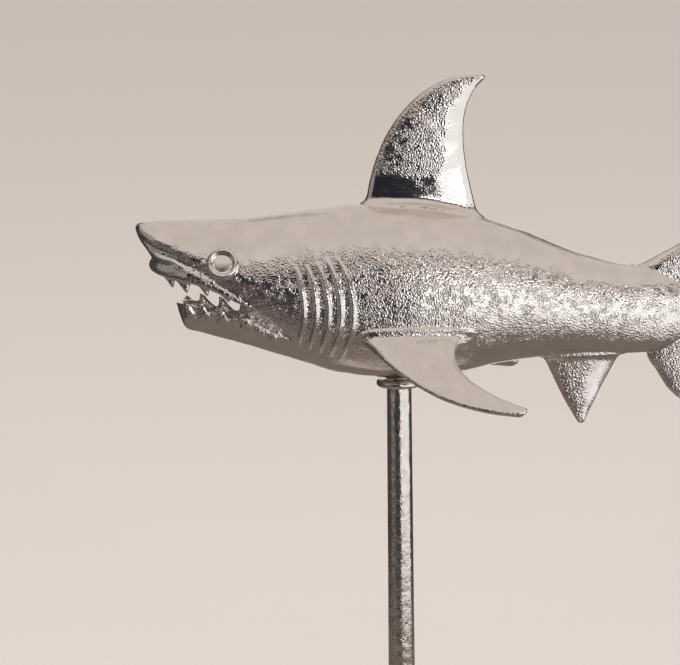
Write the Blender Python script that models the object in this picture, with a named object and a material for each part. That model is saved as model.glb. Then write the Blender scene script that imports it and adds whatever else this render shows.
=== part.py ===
"""A cast-metal shark on a round rod, held by a collar and standing on a plain base plate.

Metres, +Z up. The nose points to -X, the shark's mid-plane is Y = 0, and the origin is on
the rod's axis at the surface that the felt rests on.
"""

import math

import bmesh
import bpy
from mathutils import Vector

MM = 0.001
SEAT_GAP = 0.3 * MM

# The stand, from the table upwards
FELT_THICKNESS = 1.5 * MM
FELT_INSET = 1.5 * MM
PLATE_LENGTH = 150 * MM
PLATE_WIDTH = 95 * MM
PLATE_THICKNESS = 12 * MM
PLATE_CORNER_RADIUS = 8 * MM
PLATE_EDGE_RADIUS = 1.8 * MM
ROD_LENGTH = 200 * MM
ROD_TOP_RADIUS = 6.45 * MM
ROD_FOOT_RADIUS = 7.0 * MM
ROD_EDGE_CHAMFER = 0.5 * MM
COLLAR_RADIUS = 11.8 * MM
COLLAR_THICKNESS = 4.2 * MM
COLLAR_EDGE_RADIUS = 1.9 * MM

# The fasteners that the rod hides
STUD_RADIUS = 3.0 * MM
STUD_LENGTH = 34 * MM
STUD_CHAMFER = 0.6 * MM
STUD_IN_ROD = 14 * MM
SCREW_RADIUS = 2.5 * MM
SCREW_LENGTH = 28 * MM
SCREW_HEAD_RADIUS = 5.0 * MM
SCREW_HEAD_HEIGHT = 2.8 * MM
SCREW_SOCKET_RADIUS = 1.7 * MM
SCREW_SOCKET_DEPTH = 1.6 * MM
BORE_CLEARANCE = 0.3 * MM
BORE_END_ROOM = 1.5 * MM
CUTTER_PAST = 5.0 * MM

# The shark's body, without its fins
BODY_LENGTH = 320 * MM
BODY_DEPTH = 91.5 * MM
BODY_WIDTH = 66 * MM
ROD_FROM_NOSE = 136 * MM
BOSS_RADIUS = 7.5 * MM
BOSS_HEIGHT = 0.5 * MM
BOSS_SINK = 6 * MM

# The mouth
MOUTH_CORNER_SINK = 2.6 * MM
JAW_WALL = 3.4 * MM
JAW_FLOOR = 7.0 * MM
PALATE_WALL = 4.0 * MM
PALATE_RISE = 5.0 * MM
LEAST_HOLLOW = 1.0 * MM
HOLLOW_PAST_EDGE = 3.0 * MM
LIP_RIDGE_HALF = 1.9 * MM
SNOUT_GROOVE_HALF = 1.9 * MM
SNOUT_GROOVE_DEPTH = 1.7 * MM
GUM_RIDGE_HALF = 1.9 * MM
GUM_RIDGE_SINK = 0.4 * MM
UPPER_TOOTH_ROOT = 2.0 * MM
LOWER_TOOTH_REACH = 9.0 * MM
LOWER_TOOTH_SINK = 1.1 * MM
TOOTH_HALF_THICKNESS = 1.6 * MM
TOOTH_TIP_HALF = 0.6 * MM

# Eyes and gills
EYE_RADIUS = 8.0 * MM
EYE_RING_THICKNESS = 2.4 * MM
EYE_RING_RISE = 0.4 * MM
EYE_DOME_HEIGHT = 0.7 * MM
EYE_SINK = 3.0 * MM
GILL_COUNT = 5
GILL_RIDGE_WIDTH = 2.6 * MM
GILL_RIDGE_HEIGHT = 1.2 * MM
GILL_SINK = 0.3 * MM

# Fins: root chord along the body, height or span from the body, and half thicknesses
DORSAL_CHORD = 58 * MM
DORSAL_HEIGHT = 67 * MM
DORSAL_ROOT_HALF = 5.2 * MM
DORSAL_TIP_HALF = 1.8 * MM
PECTORAL_CHORD = 55 * MM
PECTORAL_SPAN = 44.5 * MM
PECTORAL_DROP = 30.5 * MM
PECTORAL_ROOT_HALF = 3.0 * MM
PECTORAL_TIP_HALF = 1.9 * MM
PECTORAL_SHOULDER_HEIGHT = 1.7 * MM
PECTORAL_SHOULDER_START = 5.5 * MM
PECTORAL_SHOULDER_END = 13 * MM
VENTRAL_CHORD = 40 * MM
VENTRAL_HEIGHT = 35.5 * MM
VENTRAL_ROOT_HALF = 5.2 * MM
VENTRAL_TIP_HALF = 1.4 * MM
CAUDAL_ROOT_HALF = 7.5 * MM
CAUDAL_TIP_HALF = 1.6 * MM
FIN_FILLET = 3.5 * MM
FIN_SINK = 9 * MM
ROOT_FOLLOW = 0.5
FIN_FULLNESS = 2.3
PECTORAL_FULLNESS = 3.2

# Places and outlines on the body, in percent of its length from the nose and of its depth
# from the lowest point of the belly. Its core ends inside the tail fin
TOP_LINE = (
    (0, 88.4), (0.5, 90.1), (1.6, 90.9), (6.3, 91.6), (16.3, 92.1), (22.9, 94.6), (28.5, 97.2),
    (37.5, 100), (45, 99.6), (52.2, 95.5), (61.3, 85.5), (71.3, 71), (79, 63.5), (84, 61),
    (88, 56), (93, 46),
)
UNDER_LINE = (
    (0, 86.4), (0.6, 81), (2, 73.6), (2.9, 67.8), (3.8, 61), (4.7, 58.5), (5.7, 52), (6.4, 45),
    (6.8, 38.9), (7.7, 30.7), (8.3, 28.7), (10.3, 26.9), (18.1, 19.1), (25.8, 10.7), (33.6, 3),
    (42.5, 0), (52.4, 3.1), (58.9, 8), (68.7, 11.7), (84, 13), (88, 18), (93, 29),
)
WIDEST_LINE = (
    (0, 87.4), (3.5, 80), (9.4, 71), (16.3, 62.3), (22.9, 55), (28.5, 49.5), (37.5, 47),
    (52.2, 46.4), (66.3, 42.6), (81.3, 37.2), (93, 37),
)
# Half width in percent of the greatest half width
HALF_WIDTH = (
    (0, 2.7), (0.5, 10.9), (1.6, 20.6), (3.5, 30.9), (6.3, 41.8), (9.4, 52.1), (12.9, 61.8),
    (19.7, 75.8), (25.7, 86.4), (32.5, 95.2), (42.5, 100), (52.2, 94.5), (61.3, 80),
    (71.3, 60.6), (81.3, 43), (87, 28), (93, 7),
)
# Exponent of each section's superellipse below and above its widest line: 2 is round, more is
# boxy, and less gives the jaw its keel and the snout the edge along its side
UNDER_FULLNESS = (
    (0, 2), (4.5, 2), (6.2, 1.6), (8, 1.5), (12, 1.6), (17, 1.7), (24, 2), (32, 2.25),
    (60, 2.1), (93, 2),
)
TOP_FULLNESS = ((0, 1.9), (3, 1.6), (8, 1.5), (16, 1.5), (24, 1.75), (32, 2), (45, 2.1), (93, 2.1))

LIP_EDGE = (
    (2, 60), (4.6, 59.3), (7.1, 58.6), (10.1, 57.6), (13.4, 53.6), (17.4, 46), (20.5, 40.2),
    (22.4, 35), (24, 30), (25.5, 25),
)
JAW_RIM = (
    (2, 44.8), (7.4, 44.8), (9.6, 43.8), (12.1, 40.7), (14.9, 37.6), (17.6, 36), (20, 33.2),
    (22.5, 29.1), (25.5, 24.4),
)
MOUTH_BACK = 17.4
WEB_OVERLAP = 1.5
MOUTH_CORNER = 25.4
JAW_TROUGH = (7.6, 17.3)
PALATE = (5.4, 17.2)
# The ridge of the upper lip: place, height, sideways share of the body's greatest half width,
# half height. It sinks into the cheek at its ends
LIP_RIDGE = (
    (2.7, 66.2, 0, 3.4), (3, 66.1, 10, 3.7), (3.9, 65.6, 20, 4.6), (6, 64.3, 32.5, 5.2),
    (8.5, 62.3, 44, 4.5), (11.3, 58.8, 52.5, 3.3), (14.1, 53.8, 58.7, 2.4),
    (16.6, 48.8, 62.5, 1.9), (18.6, 45.6, 63, 1.4), (20.3, 43, 61, 1),
)
# The hollow above that ridge: place, height, half height, share of its full depth
SNOUT_GROOVE = (
    (0.6, 85, 1, -0.2), (1.6, 80.4, 2.3, 0.5), (2.6, 77.6, 3.4, 0.85), (4.2, 75.2, 3.8, 1),
    (6.2, 72.8, 3.2, 1), (8.2, 69, 2.8, 0.95), (10, 65.4, 2.4, 0.85), (12, 60.4, 2, 0.65),
    (14.6, 54.8, 1.6, 0.35), (17.2, 49.6, 1.2, -0.2),
)
GUM_RIDGE = ((17.5, 36.8), (19.2, 34.4), (20.8, 31.5), (22.5, 28.4))
# The teeth on one side: place and height of the tip, half width of the root in millimetres
UPPER_TEETH = ((6, 53.8, 3.8), (8.3, 51.6, 5), (11.6, 50.4, 4.4), (15.1, 47, 3.6))
LOWER_TEETH = ((8, 47, 4.2), (10.3, 47.6, 4.8), (13.4, 45.2, 4.6), (16.8, 42.4, 3.6))
UPPER_TOOTH_LEAN = 0.4
LOWER_TOOTH_LEAN = 1.1
EYE_PLACE = (14.2, 69.6)
# First and last gill: place and height of the top, height of the bottom, bulge to the tail
FIRST_GILL = (26, 68, 21.5, 1.2)
LAST_GILL = (32.8, 73, 14.5, 2.4)
DORSAL_PLACE = 37.4
PECTORAL_PLACE = 36.6
PECTORAL_LEVEL = 25.4
VENTRAL_PLACE = 65.9

# Leading and trailing edge of each fin as cubic curves, in shares of its chord and height
DORSAL_EDGES = (
    ((0, 0), (0.06, 0.52), (0.45, 1.02), (1.04, 1)),
    ((1, 0), (0.86, 0.33), (0.78, 0.76), (1.065, 0.96)),
)
PECTORAL_EDGES = (
    ((0, 0), (0.34, 0.44), (0.66, 0.93), (1.44, 1.01)),
    ((1, 0), (0.74, 0.08), (0.81, 0.59), (1.52, 0.92)),
)
VENTRAL_EDGES = (
    ((0, 0), (0.13, 0.3), (0.27, 0.7), (0.46, 1)),
    ((1, 0), (0.86, 0.25), (0.68, 0.6), (0.54, 0.98)),
)
# The tail fin's front edge and rear edge from its lower tip to its upper tip: height, place.
# The front edge runs through the body's core between its two lobes
TAIL_FRONT = (
    (-30.8, 95.8), (-22, 91.6), (-14.4, 88.1), (-8.3, 86.2), (2.2, 84.3), (12, 82.8), (24, 86),
    (37, 87), (50, 85.5), (60, 80.5), (66.2, 83.4), (75.3, 88.2), (96, 97), (129.4, 106.3),
)
TAIL_REAR = (
    (-30.8, 96.4), (-18, 94.7), (-3.5, 94.4), (23.8, 95.6), (47.9, 97), (73, 99.7), (98, 102.8),
    (129.4, 106.7),
)
TAIL_THICKEST = 37

# Facets
BODY_STATIONS_HEAD = 22
BODY_STATIONS_TRUNK = 20
BODY_SIDES = 24
FIN_LEVELS = 10
FIN_SIDES = 14
TAIL_LEVELS = 18
GILL_LEVELS = 8
GILL_SIDES = 6
RIDGE_SIDES = 10
HOLLOW_LEVELS = 9
HOLLOW_SIDES = 9
MOUTH_LEVELS = 14
WEB_LEVELS = 8
WEB_STEPS = 4
TOOTH_SIDES = 8
EYE_SIDES = 24
DOME_LEVELS = 3
ROUND_SIDES = 32

PLATE_BOTTOM = FELT_THICKNESS + SEAT_GAP
PLATE_TOP = PLATE_BOTTOM + PLATE_THICKNESS
ROD_FOOT = PLATE_TOP + SEAT_GAP
ROD_TOP = ROD_FOOT + ROD_LENGTH
COLLAR_BOTTOM = ROD_TOP + SEAT_GAP
COLLAR_TOP = COLLAR_BOTTOM + COLLAR_THICKNESS
CASTING_SEAT = COLLAR_TOP + SEAT_GAP
BELLY = CASTING_SEAT + BOSS_HEIGHT
STUD_FOOT = ROD_TOP - STUD_IN_ROD


def clear_scene():
    for thing in list(bpy.data.objects):
        bpy.data.objects.remove(thing, do_unlink=True)


def metal(name, colour, roughness, metallic=1.0):
    material = bpy.data.materials.new(name)
    material.use_nodes = True
    shader = material.node_tree.nodes["Principled BSDF"]
    shader.inputs["Base Color"].default_value = (*colour, 1.0)
    shader.inputs["Roughness"].default_value = roughness
    shader.inputs["Metallic"].default_value = metallic
    return material


def smooth_line(points, x):
    """Value at x of the smooth line through the points, which never overshoots them."""
    if x <= points[0][0]:
        return points[0][1]
    if x >= points[-1][0]:
        return points[-1][1]
    slopes = [(b[1] - a[1]) / (b[0] - a[0]) for a, b in zip(points, points[1:])]
    tangents = [slopes[0]]
    for before, after in zip(slopes, slopes[1:]):
        same_way = before * after > 0
        tangents.append(2 * before * after / (before + after) if same_way else 0.0)
    tangents.append(slopes[-1])
    i = max(k for k in range(len(points) - 1) if points[k][0] <= x)
    (x0, y0), (x1, y1) = points[i][:2], points[i + 1][:2]
    width = x1 - x0
    t = (x - x0) / width
    start = (1 + 2 * t) * (1 - t) ** 2 * y0 + t * (1 - t) ** 2 * width * tangents[i]
    end = t * t * (3 - 2 * t) * y1 - t * t * (1 - t) * width * tangents[i + 1]
    return start + end


def along(place):
    """World X of a place in percent of the body's length."""
    return place / 100 * BODY_LENGTH - ROD_FROM_NOSE


def place_at(x):
    return (x + ROD_FROM_NOSE) / BODY_LENGTH * 100


def level(height):
    """World Z of a height in percent of the body's depth."""
    return BELLY + height / 100 * BODY_DEPTH


def half_width(place):
    return smooth_line(HALF_WIDTH, place) / 100 * BODY_WIDTH / 2


def flank(place, height):
    """Half width of the body's section at this place, at this height."""
    widest = smooth_line(WIDEST_LINE, place)
    if height >= widest:
        edge, power = smooth_line(TOP_LINE, place), smooth_line(TOP_FULLNESS, place)
    else:
        edge, power = smooth_line(UNDER_LINE, place), smooth_line(UNDER_FULLNESS, place)
    share = min(1.0, abs((height - widest) / (edge - widest)))
    return half_width(place) * (1 - share**power) ** (1 / power)


def flank_point(place, height, side, out=0.0):
    """Point on the body's side, or this far out of it along the surface's normal."""
    step = 0.4
    point = Vector((along(place), flank(place, height), level(height)))
    back = Vector((along(place + step), flank(place + step, height), level(height)))
    above = Vector((along(place), flank(place, height + step), level(height + step)))
    normal = (above - point).cross(back - point).normalized()
    point += normal * out
    normal.y *= side
    return Vector((point.x, side * point.y, point.z)), normal


def spaced(start, end, count):
    return [start + (end - start) * i / (count - 1) for i in range(count)]


def round_sign(value, power):
    return math.copysign(abs(value) ** power, value)


def body_section(place):
    widest = smooth_line(WIDEST_LINE, place)
    top = smooth_line(TOP_LINE, place) - widest
    under = widest - smooth_line(UNDER_LINE, place)
    top_power, under_power = smooth_line(TOP_FULLNESS, place), smooth_line(UNDER_FULLNESS, place)
    ring = []
    for i in range(BODY_SIDES):
        angle = 2 * math.pi * i / BODY_SIDES
        power, reach = (top_power, top) if angle < math.pi else (under_power, under)
        across = half_width(place) * round_sign(math.cos(angle), 2 / power)
        height = widest + reach * round_sign(math.sin(angle), 2 / power)
        ring.append((along(place), across, level(height)))
    return ring


def mesh_object(name, bm, material=None):
    bmesh.ops.recalc_face_normals(bm, faces=bm.faces)
    mesh = bpy.data.meshes.new(name)
    bm.to_mesh(mesh)
    bm.free()
    mesh.shade_smooth()
    mesh.set_sharp_from_angle(angle=math.radians(35))
    thing = bpy.data.objects.new(name, mesh)
    bpy.context.scene.collection.objects.link(thing)
    if material:
        mesh.materials.append(material)
    return thing


def helper(thing):
    """Keeps an object that only cuts or joins another out of the part."""
    thing.hide_render = True
    thing.display_type = "WIRE"
    return thing


def bridge(bm, one, two):
    """Faces between two rings of equally many points. A ring of one point is a tip."""
    sides = max(len(one), len(two))
    for i in range(sides):
        j = (i + 1) % sides
        if len(one) == 1:
            bm.faces.new((one[0], two[i], two[j]))
        elif len(two) == 1:
            bm.faces.new((one[i], two[0], one[j]))
        else:
            bm.faces.new((one[i], two[i], two[j], one[j]))


def loft(name, rings, material=None):
    """Closed solid over a row of rings."""
    bm = bmesh.new()
    rows = [[bm.verts.new(point) for point in ring] for ring in rings]
    for one, two in zip(rows, rows[1:]):
        bridge(bm, one, two)
    for end in (rows[0], rows[-1]):
        if len(end) > 2:
            bm.faces.new(end)
    return mesh_object(name, bm, material)


def turned(name, profile, material=None, hole=False, sides=ROUND_SIDES):
    """Solid of revolution about Z. The profile starts and ends on the axis, or is a loop."""
    bm = bmesh.new()
    rows = []
    turn = [2 * math.pi * i / sides for i in range(sides)]
    for radius, height in profile:
        if radius == 0:
            rows.append([bm.verts.new((0, 0, height))])
        else:
            ring = [(radius * math.cos(angle), radius * math.sin(angle), height) for angle in turn]
            rows.append([bm.verts.new(point) for point in ring])
    pairs = list(zip(rows, rows[1:]))
    if hole:
        pairs.append((rows[-1], rows[0]))
    for one, two in pairs:
        bridge(bm, one, two)
    return mesh_object(name, bm, material)


def oval(centre, first, second, sides):
    """Ring of points round a centre, on an ellipse with these two half axes."""
    turn = [2 * math.pi * k / sides for k in range(sides)]
    return [centre + first * math.cos(angle) + second * math.sin(angle) for angle in turn]


def swept(name, path, across, sizes, sides):
    """Rod of elliptic section along a path. across is the direction of each first half axis."""
    rings = []
    for i, point in enumerate(path):
        ahead = path[min(i + 1, len(path) - 1)] - path[max(i - 1, 0)]
        first = (across[i] - across[i].project(ahead)).normalized()
        second = ahead.cross(first).normalized()
        rings.append(oval(point, first * sizes[i][0], second * sizes[i][1], sides))
    return loft(name, rings)


def boolean(thing, operation, others):
    """Cuts the others from the thing, or joins them to it, in one step each."""
    for other in others:
        helper(other)
        step = thing.modifiers.new(other.name, "BOOLEAN")
        step.operation = operation
        step.solver = "MANIFOLD"
        step.object = other


def cubic(points, t):
    weights = ((1 - t) ** 3, 3 * t * (1 - t) ** 2, 3 * t * t * (1 - t), t**3)
    return tuple(sum(w * point[axis] for w, point in zip(weights, points)) for axis in (0, 1))


def fin(name, edges, chord, height, halves, place_point, fullness=FIN_FULLNESS):
    """Fin between two edge curves. place_point turns chord, height and thickness to a point."""
    rings = []
    levels = [-1.0] + spaced(0, 1, FIN_LEVELS)
    for share in levels:
        rise = max(share, 0.0)
        lead, trail = cubic(edges[0], rise), cubic(edges[1], rise)
        lead = [lead[0] * chord, lead[1] * height]
        trail = [trail[0] * chord, trail[1] * height]
        if share < 0:
            lead[1] -= FIN_SINK
            trail[1] -= FIN_SINK
        half = halves[0] + (halves[1] - halves[0]) * rise
        near_root = max(0.0, 1 - rise * height / FIN_FILLET)
        flare = FIN_FILLET * (1 - math.sqrt(1 - near_root**2))
        half += flare
        middle = [(a + b) / 2 for a, b in zip(lead, trail)]
        reach = [(b - a) / 2 for a, b in zip(lead, trail)]
        stretch = 1 + flare / math.hypot(*reach)
        ring = []
        for i in range(FIN_SIDES):
            angle = 2 * math.pi * i / FIN_SIDES
            run = round_sign(math.cos(angle), 2 / fullness) * stretch
            thick = round_sign(math.sin(angle), 2 / fullness) * half
            ring.append(place_point(middle[0] + reach[0] * run, middle[1] + reach[1] * run, thick))
        rings.append(ring)
    rings.append([sum((Vector(p) for p in rings[-1]), Vector()) / FIN_SIDES])
    tip_out = Vector(rings[-1][0]) - sum((Vector(p) for p in rings[-3]), Vector()) / FIN_SIDES
    rings[-1][0] += tip_out.normalized() * halves[1] * 0.6
    return loft(name, rings)


def root_share(rise, height):
    """How far a fin still follows the body's surface: 1 at its root, 0 higher up."""
    return max(0.0, min(1.0, 1 - rise / (ROOT_FOLLOW * height)))


def median_fin(name, place, line, way, edges, chord, height, halves):
    """Upright fin in the mid-plane, on the body's top line or hanging from its under line."""
    root_x = along(place)
    root_z = level(smooth_line(line, place))

    def place_point(run, rise, thick):
        surface = level(smooth_line(line, place_at(root_x + run)))
        base = root_z + (surface - root_z) * root_share(rise, height)
        return Vector((root_x + run, thick, base + way * rise))

    return fin(name, edges, chord, height, halves, place_point)


def dorsal_fin():
    halves = (DORSAL_ROOT_HALF, DORSAL_TIP_HALF)
    size = (DORSAL_CHORD, DORSAL_HEIGHT)
    return median_fin("dorsal_fin", DORSAL_PLACE, TOP_LINE, 1, DORSAL_EDGES, *size, halves)


def ventral_fin():
    halves = (VENTRAL_ROOT_HALF, VENTRAL_TIP_HALF)
    size = (VENTRAL_CHORD, VENTRAL_HEIGHT)
    return median_fin("ventral_fin", VENTRAL_PLACE, UNDER_LINE, -1, VENTRAL_EDGES, *size, halves)


def shoulder(rise):
    """How much the pectoral fin's upper face is raised near its root."""
    share = (PECTORAL_SHOULDER_END - rise) / (PECTORAL_SHOULDER_END - PECTORAL_SHOULDER_START)
    share = max(0.0, min(1.0, share))
    return PECTORAL_SHOULDER_HEIGHT * share * share * (3 - 2 * share)


def pectoral_fin(side):
    root_x = along(PECTORAL_PLACE)
    root_y = flank(PECTORAL_PLACE, PECTORAL_LEVEL)
    root_z = level(PECTORAL_LEVEL)
    slope = math.atan2(PECTORAL_DROP, PECTORAL_SPAN)

    def place_point(run, rise, thick):
        surface = flank(place_at(root_x + run), PECTORAL_LEVEL)
        base = root_y + (surface - root_y) * root_share(rise, PECTORAL_SPAN)
        y = base + rise + thick * math.sin(slope)
        z = root_z - rise * PECTORAL_DROP / PECTORAL_SPAN + thick * math.cos(slope)
        if thick > 0:
            z += shoulder(rise)
        return Vector((root_x + run, side * y, z))

    name = "pectoral_fin_left" if side > 0 else "pectoral_fin_right"
    halves = (PECTORAL_ROOT_HALF, PECTORAL_TIP_HALF)
    size = (PECTORAL_CHORD, PECTORAL_SPAN)
    return fin(name, PECTORAL_EDGES, *size, halves, place_point, PECTORAL_FULLNESS)


def tail_fin():
    """Both lobes of the tail fin in one crescent, laid up from level slices."""
    low, high = TAIL_FRONT[0][0], TAIL_FRONT[-1][0]
    rings = []
    for height in spaced(low, high, TAIL_LEVELS):
        front = along(smooth_line(TAIL_FRONT, height))
        rear = along(smooth_line(TAIL_REAR, height))
        lobe = high if height > TAIL_THICKEST else low
        out = (height - TAIL_THICKEST) / (lobe - TAIL_THICKEST)
        half = CAUDAL_TIP_HALF + (CAUDAL_ROOT_HALF - CAUDAL_TIP_HALF) * (1 - out) ** 1.3
        ring = []
        for i in range(FIN_SIDES):
            angle = 2 * math.pi * i / FIN_SIDES
            x = (front + rear) / 2 + (rear - front) / 2 * math.cos(angle)
            taper = 0.75 - 0.25 * math.cos(angle)
            ring.append((x, half * taper * math.sin(angle), level(height)))
        rings.append(ring)
    return loft("tail_fin", rings)


def mouth_gap():
    """Cutter of the open mouth's side outline, right through the head."""
    places = spaced(LIP_EDGE[0][0], MOUTH_BACK, MOUTH_LEVELS)
    outline = [(place, smooth_line(LIP_EDGE, place)) for place in places]
    middle = (smooth_line(LIP_EDGE, MOUTH_BACK) + smooth_line(JAW_RIM, MOUTH_BACK)) / 2
    outline.append((MOUTH_BACK + 0.7, middle))
    outline += [(place, smooth_line(JAW_RIM, place)) for place in reversed(places)]
    rings = []
    for across in (-BODY_WIDTH, BODY_WIDTH):
        rings.append([(along(place), across, level(height)) for place, height in outline])
    return loft("mouth_gap", rings)


def mouth_corner(side):
    """Cutter of the shallow web behind the open part of the mouth, on one side."""
    rings = []
    for place in spaced(MOUTH_BACK - WEB_OVERLAP, MOUTH_CORNER, WEB_LEVELS):
        lip, rim = smooth_line(LIP_EDGE, place), smooth_line(JAW_RIM, place)
        fade = 0.3 + 0.7 * min(1.0, (MOUTH_CORNER - place) / (MOUTH_CORNER - MOUTH_BACK))
        ring = []
        for height in spaced(lip, rim, WEB_STEPS):
            ring.append(flank_point(place, height, side, -MOUTH_CORNER_SINK * fade)[0])
        for height in spaced(rim, lip, WEB_STEPS):
            ring.append(flank_point(place, height, side, MOUTH_CORNER_SINK)[0])
        rings.append(ring)
    return loft("mouth_corner_" + ("left" if side > 0 else "right"), rings)


def hollow(name, span, edge_line, wall, depth, way):
    """Cutter with a rounded front that sinks from the open mouth into a jaw."""
    rings = []
    for place in spaced(*span, HOLLOW_LEVELS):
        share = (place - span[0]) / (span[1] - span[0])
        front = math.sqrt(1 - (1 - min(1.0, 0.06 + share * 2.2)) ** 2)
        edge = smooth_line(edge_line, place)
        across = (flank(place, edge) - wall) * front
        ring = []
        for angle in spaced(0, math.pi, HOLLOW_SIDES):
            drop = depth(place) * round_sign(math.sin(angle), 0.8) * (0.35 + 0.65 * front)
            ring.append((along(place), across * math.cos(angle), level(edge) + way * drop))
        ring.append((along(place), -across, level(edge) - way * HOLLOW_PAST_EDGE))
        ring.append((along(place), across, level(edge) - way * HOLLOW_PAST_EDGE))
        rings.append(ring)
    return loft(name, rings)


def jaw_trough():
    def depth(place):
        thickness = smooth_line(JAW_RIM, place) - smooth_line(UNDER_LINE, place)
        return max(LEAST_HOLLOW, thickness / 100 * BODY_DEPTH - JAW_FLOOR)

    return hollow("jaw_trough", JAW_TROUGH, JAW_RIM, JAW_WALL, depth, -1)


def palate():
    return hollow("palate", PALATE, LIP_EDGE, PALATE_WALL, lambda place: PALATE_RISE, 1)


def snout_groove(side):
    """Cutter that rises clear of the snout at both its ends."""
    path, across, sizes = [], [], []
    for place, height, half, share in SNOUT_GROOVE:
        out = SNOUT_GROOVE_HALF - SNOUT_GROOVE_DEPTH * share
        point, normal = flank_point(place, height, side, out)
        path.append(point)
        across.append(normal)
        sizes.append((SNOUT_GROOVE_HALF, half / 100 * BODY_DEPTH))
    name = "snout_groove_" + ("left" if side > 0 else "right")
    return swept(name, path, across, sizes, RIDGE_SIDES)


def lip_ridge():
    """The upper lip's ridge, in one horseshoe round the front of the mouth."""
    rows = [(place, height, -share, half) for place, height, share, half in reversed(LIP_RIDGE)]
    rows += [row for row in LIP_RIDGE[1:]]
    path, across, sizes = [], [], []
    for place, height, share, half in rows:
        path.append(Vector((along(place), share / 100 * BODY_WIDTH / 2, level(height))))
        across.append(Vector((-1.0, share / 12, 0.0)).normalized())
        sizes.append((LIP_RIDGE_HALF, half / 100 * BODY_DEPTH))
    return swept("lip_ridge", path, across, sizes, RIDGE_SIDES)


def gum_ridge(side):
    path, across, sizes = [], [], []
    for place, height in GUM_RIDGE:
        point, normal = flank_point(place, height, side, -GUM_RIDGE_SINK)
        path.append(point)
        across.append(normal)
        sizes.append((GUM_RIDGE_HALF * 0.9, GUM_RIDGE_HALF))
    sizes[-1] = (GUM_RIDGE_HALF * 0.6, GUM_RIDGE_HALF * 0.6)
    name = "gum_ridge_" + ("left" if side > 0 else "right")
    return swept(name, path, across, sizes, RIDGE_SIDES)


def tooth(name, root, tip, half):
    """Flat blade from inside the gum to a blunt tip, widest along the jaw."""
    rise = tip - root
    jaw_way = Vector((0, 1, 0)).cross(rise).normalized()
    outward = rise.cross(jaw_way).normalized()
    rings = []
    for share in (0.0, 0.35, 0.65, 0.92):
        taper = 1 - share
        wide = TOOTH_TIP_HALF + (half - TOOTH_TIP_HALF) * taper
        thick = TOOTH_TIP_HALF + (TOOTH_HALF_THICKNESS - TOOTH_TIP_HALF) * math.sqrt(taper)
        rings.append(oval(root + rise * share, jaw_way * wide, outward * thick, TOOTH_SIDES))
    rings.append([tip])
    return loft(name, rings)


def upper_tooth(number, side):
    place, height, half = UPPER_TEETH[number]
    edge = smooth_line(LIP_EDGE, place)
    across = side * (flank(place, edge) - PALATE_WALL / 2)
    root = Vector((along(place - UPPER_TOOTH_LEAN), across, level(edge) + UPPER_TOOTH_ROOT))
    tip = Vector((along(place), across, level(height)))
    return tooth(f"upper_tooth_{number}_{side}", root, tip, half * MM)


def lower_tooth(number, side):
    """Its outer face runs down over the jaw, below the rim."""
    place, height, half = LOWER_TEETH[number]
    tip_across = flank(place, smooth_line(JAW_RIM, place)) - JAW_WALL / 3
    tip = Vector((along(place), side * tip_across, level(height)))
    root_place = place + LOWER_TOOTH_LEAN
    root_height = height - LOWER_TOOTH_REACH / BODY_DEPTH * 100
    root_across = flank(root_place, root_height) - LOWER_TOOTH_SINK
    root = Vector((along(root_place), side * root_across, level(root_height)))
    return tooth(f"lower_tooth_{number}_{side}", root, tip, half * MM)


def teeth():
    made = []
    for side in (-1, 1):
        made += [upper_tooth(number, side) for number in range(len(UPPER_TEETH))]
        made += [lower_tooth(number, side) for number in range(len(LOWER_TEETH))]
    return made


def eye(side):
    """Ring round a low dome, set on the flank."""
    centre, normal = flank_point(*EYE_PLACE, side)
    tube = EYE_RING_THICKNESS / 2
    outer = EYE_RADIUS - tube
    profile = [(0, -EYE_SINK), (outer, -EYE_SINK), (EYE_RADIUS, -EYE_SINK / 3)]
    for angle in spaced(0, math.pi, 6):
        profile.append((outer + tube * math.cos(angle), EYE_RING_RISE + tube * math.sin(angle)))
    disc = outer - tube
    for share in spaced(0.95, 0, DOME_LEVELS):
        profile.append((disc * share, EYE_DOME_HEIGHT * (1 - share**2)))
    thing = turned("eye_" + ("left" if side > 0 else "right"), profile, sides=EYE_SIDES)
    thing.rotation_mode = "QUATERNION"
    thing.rotation_quaternion = normal.to_track_quat("Z", "X")
    thing.location = centre
    return thing


def gill(number, side):
    share = number / max(1, GILL_COUNT - 1)
    place, top, bottom, bulge = (a + (b - a) * share for a, b in zip(FIRST_GILL, LAST_GILL))
    path, across, sizes = [], [], []
    for down in spaced(0, 1, GILL_LEVELS):
        bow = place + bulge * 4 * down * (1 - down)
        point, normal = flank_point(bow, top + (bottom - top) * down, side, -GILL_SINK)
        taper = 0.35 + 0.65 * math.sin(math.pi * down) ** 0.5
        path.append(point)
        across.append(normal)
        sizes.append(((GILL_RIDGE_HEIGHT + GILL_SINK) * taper, GILL_RIDGE_WIDTH / 2 * taper))
    return swept(f"gill_{number}_{side}", path, across, sizes, GILL_SIDES)


def gills():
    return [gill(number, side) for side in (-1, 1) for number in range(GILL_COUNT)]


def stud_bore():
    """Cutter of the blind hole that takes the stud's upper end."""
    radius = STUD_RADIUS + BORE_CLEARANCE
    top = STUD_FOOT + STUD_LENGTH + BORE_END_ROOM
    bottom = CASTING_SEAT - CUTTER_PAST
    return turned("stud_bore", [(0, bottom), (radius, bottom), (radius, top), (0, top + radius * 0.5)])


def boss():
    top = BELLY + BOSS_SINK
    return turned("boss", [(0, CASTING_SEAT), (BOSS_RADIUS, CASTING_SEAT), (BOSS_RADIUS, top), (0, top)])


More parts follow.
